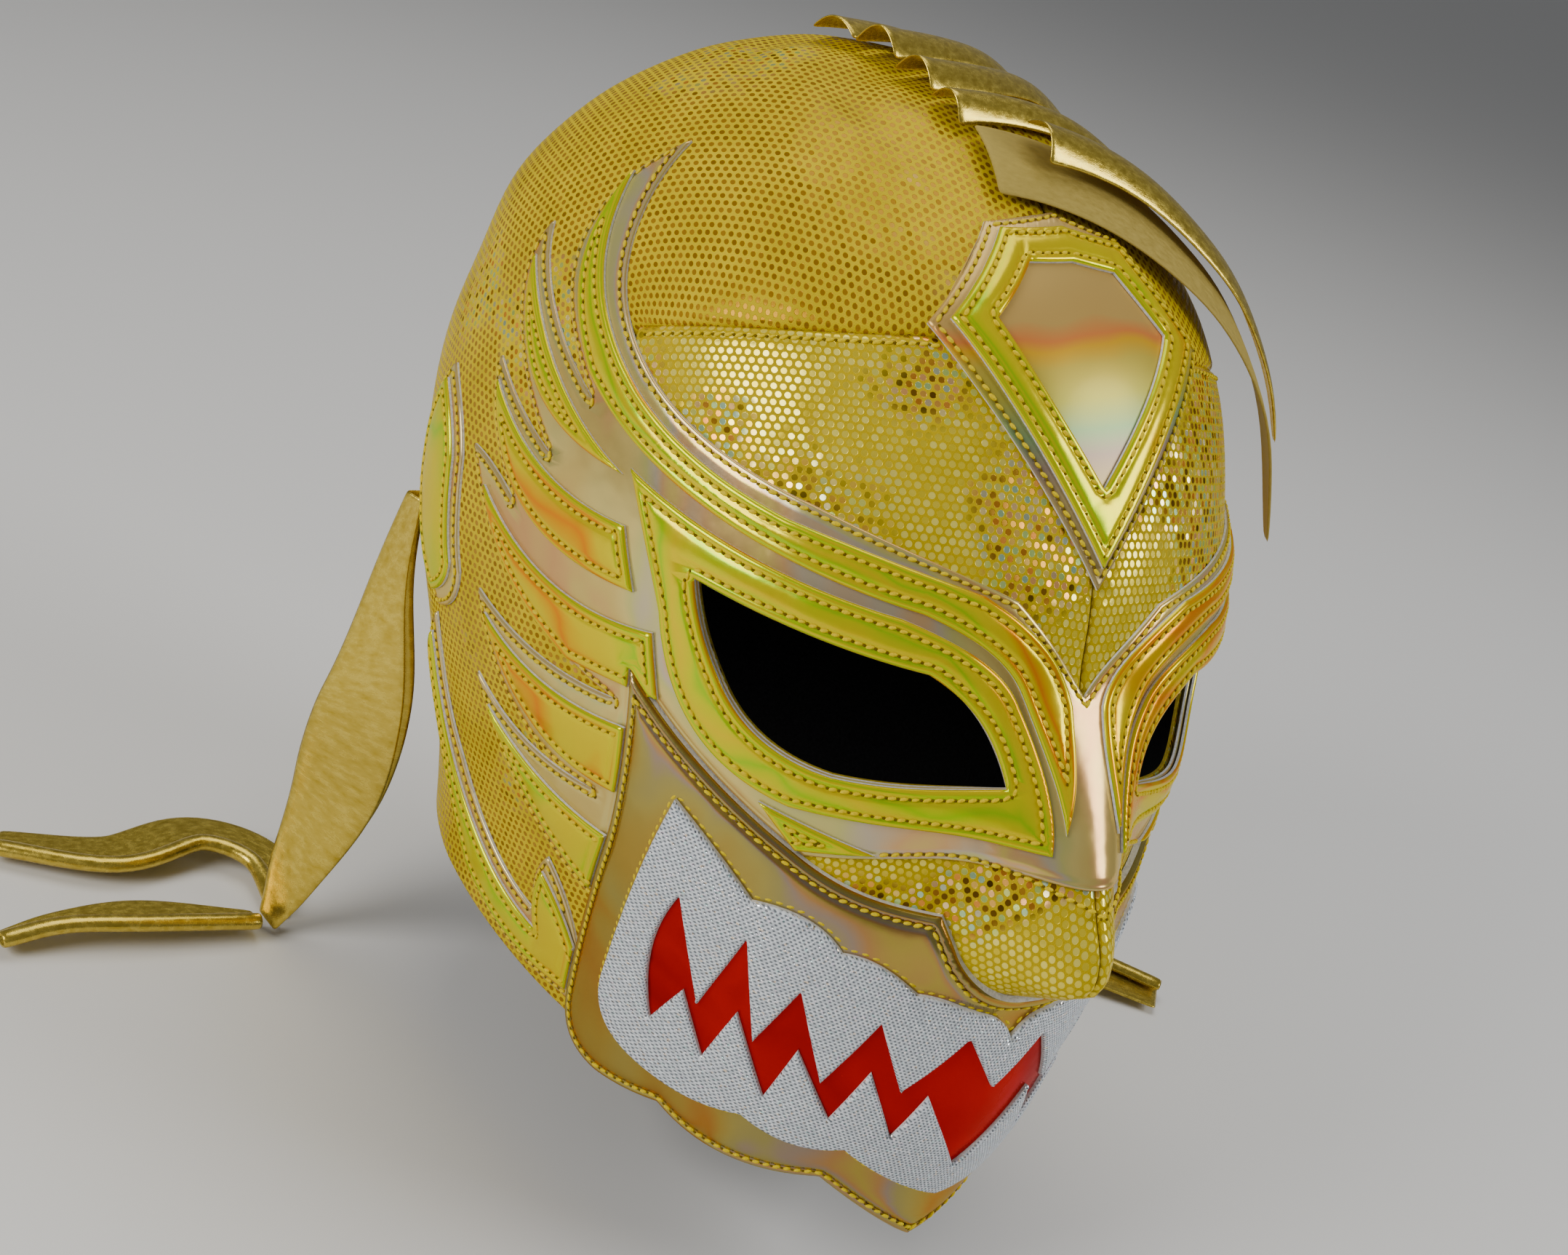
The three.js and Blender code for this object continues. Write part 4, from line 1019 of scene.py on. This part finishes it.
# %% Node helpers
def put(tree, kind, inputs=None, **settings):
    """Adds a shader node, and sets or links its inputs."""
    made = tree.nodes.new("ShaderNode" + kind)
    made.location = (180 * len(tree.nodes), 0)
    for key, value in settings.items():
        setattr(made, key, value)
    for key, value in (inputs or {}).items():
        if isinstance(value, bpy.types.NodeSocket):
            tree.links.new(value, made.inputs[key])
        else:
            made.inputs[key].default_value = value
    return made


def maths(tree, operation, *values, clamp=False):
    made = put(tree, "Math", dict(enumerate(values)), operation=operation, use_clamp=clamp)
    return made.outputs[0]


def vectors(tree, operation, *values, **named):
    made = put(tree, "VectorMath", {**dict(enumerate(values)), **named}, operation=operation)
    return made.outputs["Value" if operation in ("LENGTH", "DOT_PRODUCT") else "Vector"]


def blend_colour(tree, share, first, second, kind="MIX"):
    made = put(tree, "Mix", data_type="RGBA", blend_type=kind)
    for key, value in ((0, share), (6, first), (7, second)):
        if isinstance(value, bpy.types.NodeSocket):
            tree.links.new(value, made.inputs[key])
        else:
            made.inputs[key].default_value = value
    return made.outputs[2]


def ramp(tree, factor, stops, kind="LINEAR"):
    made = put(tree, "ValToRGB", {"Fac": factor})
    made.color_ramp.interpolation = kind
    band = made.color_ramp.elements
    for place, colour in stops[2:]:
        band.new(place)
    for element, (place, colour) in zip(sorted(band, key=lambda e: e.position), sorted(stops)):
        element.position = place
        element.color = (*colour, 1)
    return made.outputs["Color"]


def group(name, inputs, outputs):
    tree = bpy.data.node_groups.new(name, "ShaderNodeTree")
    for label, kind in inputs:
        tree.interface.new_socket(label, in_out="INPUT", socket_type="NodeSocket" + kind)
    for label, kind in outputs:
        tree.interface.new_socket(label, in_out="OUTPUT", socket_type="NodeSocket" + kind)
    return tree, tree.nodes.new("NodeGroupInput").outputs, tree.nodes.new("NodeGroupOutput").inputs


def place_group(tree, shared, inputs):
    made = tree.nodes.new("ShaderNodeGroup")
    made.node_tree = shared
    for key, value in inputs.items():
        if isinstance(value, bpy.types.NodeSocket):
            tree.links.new(value, made.inputs[key])
        else:
            made.inputs[key].default_value = value
    return made.outputs


print("node helpers ready")

# %% Foil dots
# Two square-ish lattices, one shifted by half a cell, make hexagonal rows. The nearer centre
# gives the dot, and its number gives each dot its own shade and its own small tilt.
dots, given, gives = group(
    "Foil dots",
    [("Vector", "Vector"), ("Pitch", "Float"), ("Radius", "Float"), ("Softness", "Float")],
    [("Dot", "Float"), ("Shade", "Float"), ("Colour", "Color"), ("Tilt", "Float")],
)
HEX_CELL = (0.5, 0.8660254, 0.5)
scaled = vectors(dots, "SCALE", given["Vector"], Scale=maths(dots, "DIVIDE", 1.0, given["Pitch"]))
near_a = vectors(dots, "WRAP", scaled, HEX_CELL, tuple(-v for v in HEX_CELL))
shifted = vectors(dots, "ADD", scaled, (0.5, 0.8660254, 0))
near_b = vectors(dots, "WRAP", shifted, HEX_CELL, tuple(-v for v in HEX_CELL))
a_is_nearer = maths(dots, "LESS_THAN", vectors(dots, "LENGTH", near_a), vectors(dots, "LENGTH", near_b))
chosen = put(dots, "Mix", data_type="VECTOR")
dots.links.new(a_is_nearer, chosen.inputs[0])
dots.links.new(near_b, chosen.inputs[4])
dots.links.new(near_a, chosen.inputs[5])
local = chosen.outputs[1]
centre = vectors(dots, "SUBTRACT", scaled, local)
number = vectors(dots, "FLOOR", vectors(dots, "MULTIPLY_ADD", centre, (2, 1.1547005, 0), (0.5, 0.5, 0.5)))
chance = put(dots, "TexWhiteNoise", {"Vector": number}, noise_dimensions="3D").outputs
reach = put(dots, "MapRange", {
    "Value": vectors(dots, "LENGTH", local),
    "From Min": maths(dots, "ADD", given["Radius"], given["Softness"]),
    "From Max": maths(dots, "SUBTRACT", given["Radius"], given["Softness"]),
}, interpolation_type="SMOOTHSTEP").outputs[0]
lean = vectors(dots, "SUBTRACT", chance["Color"], (0.5, 0.5, 0.5))
dots.links.new(reach, gives["Dot"])
dots.links.new(chance["Value"], gives["Shade"])
dots.links.new(chance["Color"], gives["Colour"])
dots.links.new(maths(dots, "MULTIPLY", vectors(dots, "DOT_PRODUCT", local, lean), reach), gives["Tilt"])

# %% Rainbow drift
# Holographic foil changes hue slowly along and across, from a slow noise. Added to it is a painted
# reflection:
# how the surface faces a fixed direction, so the hue changes faster where it bends. Both are folded into one
# value from 0 to 1.
drift, given, gives = group(
    "Rainbow drift",
    [("Vector", "Vector"), ("Normal", "Vector"), ("Scale", "Float"), ("Painted reflection", "Float")],
    [("Hue", "Float"), ("Patch", "Float")],
)
slow = put(drift, "TexNoise", {"Vector": given["Vector"], "Scale": given["Scale"], "Detail": 2.0,
                               "Roughness": 0.45, "Distortion": 0.8}).outputs["Fac"]
# Painted reflection: how the surface faces a fixed direction up and to the front left, where a lamp stands
facing = vectors(drift, "DOT_PRODUCT", given["Normal"], (0.62, -0.35, 0.7))
mixed = maths(drift, "ADD", maths(drift, "MULTIPLY", slow, 2.2),
              maths(drift, "MULTIPLY", facing, given["Painted reflection"]))
drift.links.new(maths(drift, "PINGPONG", mixed, 1.0), gives["Hue"])
drift.links.new(slow, gives["Patch"])

# %% Cloth grain
# Knit and lame both have fine rows of loops. Two crossed waves make them, and a noise
# breaks them up.
grain, given, gives = group(
    "Cloth grain",
    [("Vector", "Vector"), ("Rows", "Float"), ("Columns", "Float")],
    [("Height", "Float"), ("Fleck", "Float")],
)
parts = put(grain, "SeparateXYZ", {"Vector": given["Vector"]}).outputs
rows = maths(grain, "SINE", maths(grain, "MULTIPLY", parts[1], given["Rows"]))
columns = maths(grain, "SINE", maths(grain, "MULTIPLY", parts[0], given["Columns"]))
fleck = put(grain, "TexNoise", {"Vector": given["Vector"], "Scale": 900.0, "Detail": 3.0}).outputs["Fac"]
loops = maths(grain, "MULTIPLY_ADD", maths(grain, "MULTIPLY", rows, columns), 0.25, 0.5)
grain.links.new(maths(grain, "MULTIPLY_ADD", fleck, 0.8, loops), gives["Height"])
grain.links.new(fleck, gives["Fleck"])
print("shared shader parts:", [shared.name for shared in (dots, drift, grain)])

# %% [markdown]
# ## Finishes
#
# The dots and the vinyl are real foil, so most of their colour is reflected light: they are
# metallic and smooth, with a tint. The knit between the dots, the thread and the foam are
# not metallic at all. Every finish reads the piece's own UV map or its Object coordinates.

# %% Finish helpers
def finish(name, metal=0.0, rough=0.5, coat=0.0, tint=(1, 1, 1)):
    """A new material: its node tree, its shader and its coordinates."""
    made = bpy.data.materials.new(name)
    made.use_nodes = True
    tree = made.node_tree
    shader = tree.nodes["Principled BSDF"]
    shader.inputs["Metallic"].default_value = metal
    shader.inputs["Roughness"].default_value = rough
    shader.inputs["Coat Weight"].default_value = coat
    shader.inputs["Coat Roughness"].default_value = 0.08
    shader.inputs["Specular IOR Level"].default_value = 0.12
    shader.inputs["Specular Tint"].default_value = (*tint, 1)
    return made, tree, shader, put(tree, "TexCoord").outputs


def feed(tree, shader, **sockets):
    for key, value in sockets.items():
        tree.links.new(value, shader.inputs[key.replace("_", " ")])


def bump(tree, shader, height, distance, strength=1.0):
    made = put(tree, "Bump", {"Height": height, "Distance": distance, "Strength": strength})
    tree.links.new(made.outputs["Normal"], shader.inputs["Normal"])


def noise(tree, vector, scale, detail=2.0, rough=0.5, distortion=0.0):
    return put(tree, "TexNoise", {"Vector": vector, "Scale": scale, "Detail": detail,
                                  "Roughness": rough, "Distortion": distortion}).outputs["Fac"]


print("finish helpers ready")


# %% Dotted cloths
def dotted_cloth(name, pitch, radius, squash, ground, calms, dark, metal, crumpled):
    """Knit with foil dots. Where the foil is crumpled, each dot shines its own way: its colour is a painted
    glint, bright, tinted or dark as a painted reflection, and it gets a small tilt.
    """
    made, tree, shader, coords = finish(name, tint=(1, 0.72, 0.08))
    across = vectors(tree, "MULTIPLY", coords["UV"], (1, squash, 0))
    foil = place_group(tree, dots, {"Vector": across, "Pitch": pitch, "Radius": radius, "Softness": 0.035})
    crumple_and_glint_mask = put(tree, "MapRange", {"Value": noise(tree, coords["Object"], 26, 1.5, distortion=0.4),
                                     "From Min": crumpled, "From Max": crumpled + 0.12},
                  interpolation_type="SMOOTHSTEP").outputs[0]
    calm = ramp(tree, foil["Shade"], [(0, calms[0]), (1, calms[1])])
    # Painted glints: crumpled dots get colours from a dark painted reflection, through orange, lime and
    # teal, to a bright painted highlight
    painted_glints = ramp(tree, foil["Shade"], [
        (0, dark), (0.2, (0.4, 0.2, 0.02)), (0.34, (0.9, 0.33, 0.05)), (0.5, (0.95, 0.75, 0.15)),
        (0.66, (0.6, 0.8, 0.2)), (0.78, (0.4, 0.62, 0.45)), (0.88, (0.95, 0.45, 0.15)), (1, (1, 0.9, 0.4))])
    shine = blend_colour(tree, crumple_and_glint_mask, calm, painted_glints)
    loops = place_group(tree, grain, {"Vector": coords["UV"], "Rows": 9000.0, "Columns": 14000.0})
    low_ground = tuple(0.72 * v for v in ground)
    cloth = blend_colour(tree, loops["Height"], (*low_ground, 1), (*ground, 1))
    rim = put(tree, "MapRange", {"Value": noise(tree, coords["Object"], 60),
                                 "From Min": 0.3, "From Max": 0.7,
                                 "To Min": 0.85, "To Max": 1.1}).outputs[0]
    cloth = blend_colour(tree, 1.0, cloth, rim, kind="MULTIPLY")
    feed(tree, shader, Base_Color=blend_colour(tree, foil["Dot"], cloth, shine),
         Metallic=maths(tree, "MULTIPLY", foil["Dot"], put(tree, "MapRange", {
             "Value": crumple_and_glint_mask, "To Min": metal, "To Max": 0.7}).outputs[0]),
         Roughness=put(tree, "MapRange", {"Value": foil["Dot"], "To Min": 0.62, "To Max": 0.2}).outputs[0])
    tilt = maths(tree, "MULTIPLY", foil["Tilt"], maths(tree, "MULTIPLY_ADD", crumple_and_glint_mask, 0.9, 0.1))
    raised = maths(tree, "MULTIPLY_ADD", foil["Dot"], 0.015, tilt)
    weave = maths(tree, "MULTIPLY", loops["Height"], maths(tree, "SUBTRACT", 1.0, foil["Dot"]))
    bump(tree, shader, maths(tree, "MULTIPLY_ADD", weave, 0.06, raised), pitch, 0.5)
    return made


# The dark colour given to each cloth is the painted dark reflection of its crumpled dots
knit = dotted_cloth("gold_dot_knit", 1.6 * MM, 0.36, 1.0, (0.5, 0.36, 0.0),
                    ((0.72, 0.55, 0.02), (0.95, 0.82, 0.14)), (0.12, 0.06, 0.005), 0.42, 0.45)
mesh_cloth = dotted_cloth("gold_dot_mesh", 1.9 * MM, 0.31, 1.25, (0.62, 0.46, 0.0),
                          ((0.26, 0.13, 0.005), (0.42, 0.22, 0.015)), (0.15, 0.08, 0.003), 0.3, 0.58)
print("cloths:", knit.name, mesh_cloth.name)


# %% Foil vinyls
def foil_vinyl(name, stops, scale, bend, metal, rough, coat, tint=(1, 1, 1)):
    made, tree, shader, coords = finish(name, metal, rough, coat, tint)
    # The hue mixes the foil's own slow patches with a painted reflection, weighted by bend: other hues,
    # lighter or darker, where the surface faces a fixed lamp direction
    hues = place_group(tree, drift, {"Vector": coords["Object"], "Normal": coords["Normal"],
                                     "Scale": scale, "Painted reflection": bend})
    colour = ramp(tree, hues["Hue"], stops)
    scuff = noise(tree, coords["Object"], 700, 4, 0.7)
    wave = noise(tree, coords["Object"], 75, 2.0)
    feed(tree, shader, Base_Color=colour,
         Roughness=put(tree, "MapRange", {"Value": scuff, "From Min": 0.3, "From Max": 0.8,
                                          "To Min": rough * 0.9, "To Max": rough * 1.3}).outputs[0])
    bump(tree, shader, maths(tree, "MULTIPLY_ADD", scuff, 0.006, wave), 1.2 * MM, 0.35)
    return made


yellow = foil_vinyl("yellow_foil", [
    (0.0, (0.78, 0.24, 0.0)), (0.1, (0.74, 0.4, 0.0)), (0.22, (0.72, 0.55, 0.0)), (0.5, (0.72, 0.6, 0.0)),
    (0.64, (0.58, 0.6, 0.0)), (0.74, (0.36, 0.6, 0.0)), (0.84, (0.6, 0.6, 0.0)), (1.0, (0.74, 0.56, 0.0))],
    20, 1.0, 0.45, 0.2, 0.0, (1, 0.85, 0.05))
pearl = foil_vinyl("pearl_foil", [
    (0.0, (0.66, 0.36, 0.14)), (0.2, (0.66, 0.48, 0.14)), (0.45, (0.7, 0.56, 0.18)),
    (0.6, (0.58, 0.54, 0.18)),
    (0.75, (0.55, 0.46, 0.32)), (0.88, (0.7, 0.42, 0.18)), (1.0, (0.72, 0.56, 0.14))],
    24, 1.6, 0.6, 0.2, 0.1, (1, 0.8, 0.4))
border = foil_vinyl("border_foil", [
    (0.0, (0.44, 0.19, 0.03)), (0.2, (0.42, 0.28, 0.05)), (0.45, (0.4, 0.32, 0.08)),
    (0.62, (0.36, 0.3, 0.1)),
    (0.75, (0.34, 0.25, 0.18)), (0.86, (0.46, 0.24, 0.08)), (1.0, (0.45, 0.33, 0.06))],
    22, 1.3, 0.85, 0.22, 0.1, (1, 0.8, 0.4))
# The red's darker and lighter reds are painted shade and painted highlight from the same facing
red = foil_vinyl("red_gloss", [
    (0.0, (0.3, 0.0, 0.0)), (0.5, (0.48, 0.0, 0.0)), (1.0, (0.38, 0.0, 0.0))], 30, 1.0, 0.65, 0.22, 0.05,
    (1, 0.1, 0.05))
print("vinyls:", yellow.name, pearl.name, border.name, red.name)

# %% Window of the lozenge
# The foil in the lozenge's window shows a band of rainbow across it, which is painted reflection. The
# colours follow the height on the piece, bent a little, so they stay where they are when the hood turns.
WINDOW_LOW, WINDOW_HIGH = -48 * MM, -3 * MM
window_foil, tree, shader, coords = finish("window_foil", 0.45, 0.32, 0.05, (1, 0.8, 0.4))
place = put(tree, "SeparateXYZ", {"Vector": coords["Object"]}).outputs
bent = maths(tree, "MULTIPLY_ADD", place[0], -0.12, place[2])
bent = maths(tree, "MULTIPLY_ADD", noise(tree, coords["Object"], 45, 1.0), 8 * MM, bent)
share = put(tree, "MapRange", {"Value": bent, "From Min": WINDOW_LOW, "From Max": WINDOW_HIGH}).outputs[0]
# Painted reflection: the window's colours are placed by height on the piece
feed(tree, shader, Base_Color=ramp(tree, share, [
    (0.0, (0.4, 0.3, 0.12)), (0.14, (0.3, 0.22, 0.16)), (0.24, (0.22, 0.32, 0.14)),
    (0.34, (0.42, 0.38, 0.06)),
    (0.46, (0.55, 0.42, 0.06)), (0.52, (0.75, 0.4, 0.02)), (0.55, (0.75, 0.24, 0.06)),
    (0.6, (0.6, 0.38, 0.11)),
    (0.85, (0.62, 0.42, 0.13)), (1.0, (0.68, 0.48, 0.18))]))
bump(tree, shader, noise(tree, coords["Object"], 55, 1.0), 0.8 * MM, 0.3)
print("window foil between", WINDOW_LOW, "and", WINDOW_HIGH)

# %% Glitter cloth of the teeth
glitter, tree, shader, coords = finish("tooth_glitter", rough=0.5)
# The holes of the cloth are painted dark, as the shade inside them
holes = place_group(tree, dots, {"Vector": coords["UV"], "Pitch": 0.83 * MM, "Radius": 0.26,
                                 "Softness": 0.1})
flakes = put(tree, "TexVoronoi", {"Vector": coords["UV"], "Scale": 2600.0}).outputs
spark = put(tree, "SeparateColor", {"Color": flakes["Color"]}).outputs
lucky = maths(tree, "GREATER_THAN", spark[0], 0.86)
hue = ramp(tree, spark[1], [(0, (0.95, 0.75, 0.55)), (0.35, (0.95, 0.97, 1)), (0.6, (0.6, 0.85, 0.85)),
                            (0.8, (0.9, 0.8, 0.95)), (1, (1, 1, 1))])
silver = ramp(tree, spark[2], [(0, (0.52, 0.56, 0.6)), (1, (0.82, 0.86, 0.9))])
cloth = blend_colour(tree, lucky, silver, hue)
# Painted shade in the holes
feed(tree, shader, Base_Color=blend_colour(tree, maths(tree, "MULTIPLY", holes["Dot"], 0.85), cloth,
                                           (0.1, 0.12, 0.14, 1)),
     Metallic=maths(tree, "MULTIPLY", lucky, 0.8),
     Roughness=put(tree, "MapRange", {"Value": lucky, "To Min": 0.45, "To Max": 0.2}).outputs[0])
bump(tree, shader, maths(tree, "MULTIPLY_ADD", spark[0], 0.3, maths(tree, "SUBTRACT", 1.0, holes["Dot"])),
     0.25 * MM, 0.6)
print(glitter.name)


# %% Lame
def woven_metal(name, light, deep, metal, rough):
    """Gold cloth with a fine leathery grain, and soft creases."""
    made, tree, shader, coords = finish(name, metal, rough)
    streak = noise(tree, vectors(tree, "MULTIPLY", coords["UV"], (1, 0.45, 1)), 900, 4, 0.65)
    crease = noise(tree, coords["UV"], 90, 2, 0.5, 0.3)
    loops = place_group(tree, grain, {"Vector": coords["UV"], "Rows": 12000.0, "Columns": 16000.0})
    share = put(tree, "MapRange", {"Value": streak, "From Min": 0.3, "From Max": 0.7}).outputs[0]
    feed(tree, shader, Base_Color=blend_colour(tree, share, (*deep, 1), (*light, 1)),
         Roughness=put(tree, "MapRange", {"Value": streak, "From Min": 0.3, "From Max": 0.7,
                                          "To Min": rough * 0.75, "To Max": rough * 1.35}).outputs[0])
    height = maths(tree, "MULTIPLY_ADD", crease, 0.35, maths(tree, "MULTIPLY", streak, 0.35))
    bump(tree, shader, maths(tree, "MULTIPLY_ADD", loops["Height"], 0.08, height), 0.5 * MM, 0.4)
    return made


lame = woven_metal("gold_lame", (0.72, 0.55, 0.1), (0.46, 0.32, 0.03), 0.85, 0.24)
lame_back = woven_metal("lame_back", (0.44, 0.33, 0.08), (0.34, 0.25, 0.05), 0.2, 0.6)


# %% Foam, lining and thread
def fluffy(name, light, deep, scale, rough, height):
    made, tree, shader, coords = finish(name, rough=rough)
    spots = noise(tree, coords["Object"], scale, 4, 0.65)
    feed(tree, shader, Base_Color=ramp(tree, spots, [(0.3, deep), (0.7, light)]))
    bump(tree, shader, spots, height, 0.7)
    return made


foam = fluffy("foam_edge", (0.78, 0.77, 0.74), (0.5, 0.49, 0.48), 1600, 0.9, 0.3 * MM)
lining = fluffy("dark_lining", (0.012, 0.012, 0.014), (0.004, 0.004, 0.005), 1200, 0.85, 0.2 * MM)
cloth_edge = fluffy("cloth_edge", (0.4, 0.29, 0.02), (0.2, 0.14, 0.01), 1400, 0.8, 0.2 * MM)
thread = fluffy("yellow_thread", (0.85, 0.66, 0.0), (0.6, 0.42, 0.0), 2500, 0.45, 0.1 * MM)
# Painted shade of the needle holes
needle_hole_shade = fluffy("needle_hole_shade", (0.2, 0.13, 0.0), (0.1, 0.06, 0.0), 2500, 0.9, 0.05 * MM)
print("soft finishes:", foam.name, lining.name, cloth_edge.name, thread.name, needle_hole_shade.name)


# %% Dress the pieces
MATT_OUTSIDE = ("crest_tail_1",)


def dress(piece, slot, *materials):
    for material in materials:
        piece.data.materials.append(material)


for node, piece in hood_panels.items():
    if "face" in node:
        dress(piece, "face_knit", knit, lining, cloth_edge)
    else:
        dress(piece, "crown_mesh", mesh_cloth, lining, cloth_edge)
for node, piece in vinyl_pieces.items():
    if "base" in node:
        dress(piece, "pearl_vinyl", window_foil if "emblem" in node else pearl, foam, foam)
    else:
        dress(piece, "flame_vinyl", yellow, foam, foam)
dress(mouth_pieces["mouth_border"], "gold_vinyl", border, foam, foam)
dress(mouth_pieces["red_band"], "red_vinyl", red, red, red)
dress(mouth_pieces["tooth_panel"], "tooth_fabric", glitter, foam, foam)
for node, piece in {**crest_pieces, **ribbon_pieces}.items():
    if node in MATT_OUTSIDE:
        dress(piece, "lame", lame_back, lame)
    else:
        dress(piece, "lame", lame, lame_back)
for piece in thread_pieces:
    dress(piece, "face_knit", thread, needle_hole_shade)
print("dressed", len(hood_panels) + len(vinyl_pieces) + len(mouth_pieces), "sewn pieces")

# %% [markdown]
# ## Charts of the sheets
#
# Each sheet was cut flat and then sewn, stretched or laid. Every sheet that has no UV map yet gets a level
# chart, in metres.

for piece in [*hood_panels.values(), *vinyl_pieces.values(), mouth_pieces["red_band"]]:
    if not piece.data.uv_layers:
        level_chart(piece)


for node, piece in vinyl_pieces.items():
    word = "left" if "left" in node else "right"

# %% Attach the pieces to the root and hide the imported parts
for node, piece in {**hood_panels, **vinyl_pieces, **mouth_pieces, **crest_pieces, **ribbon_pieces}.items():
    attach(piece, "root")
    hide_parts(node)

for piece in thread_pieces:
    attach(piece, "root")
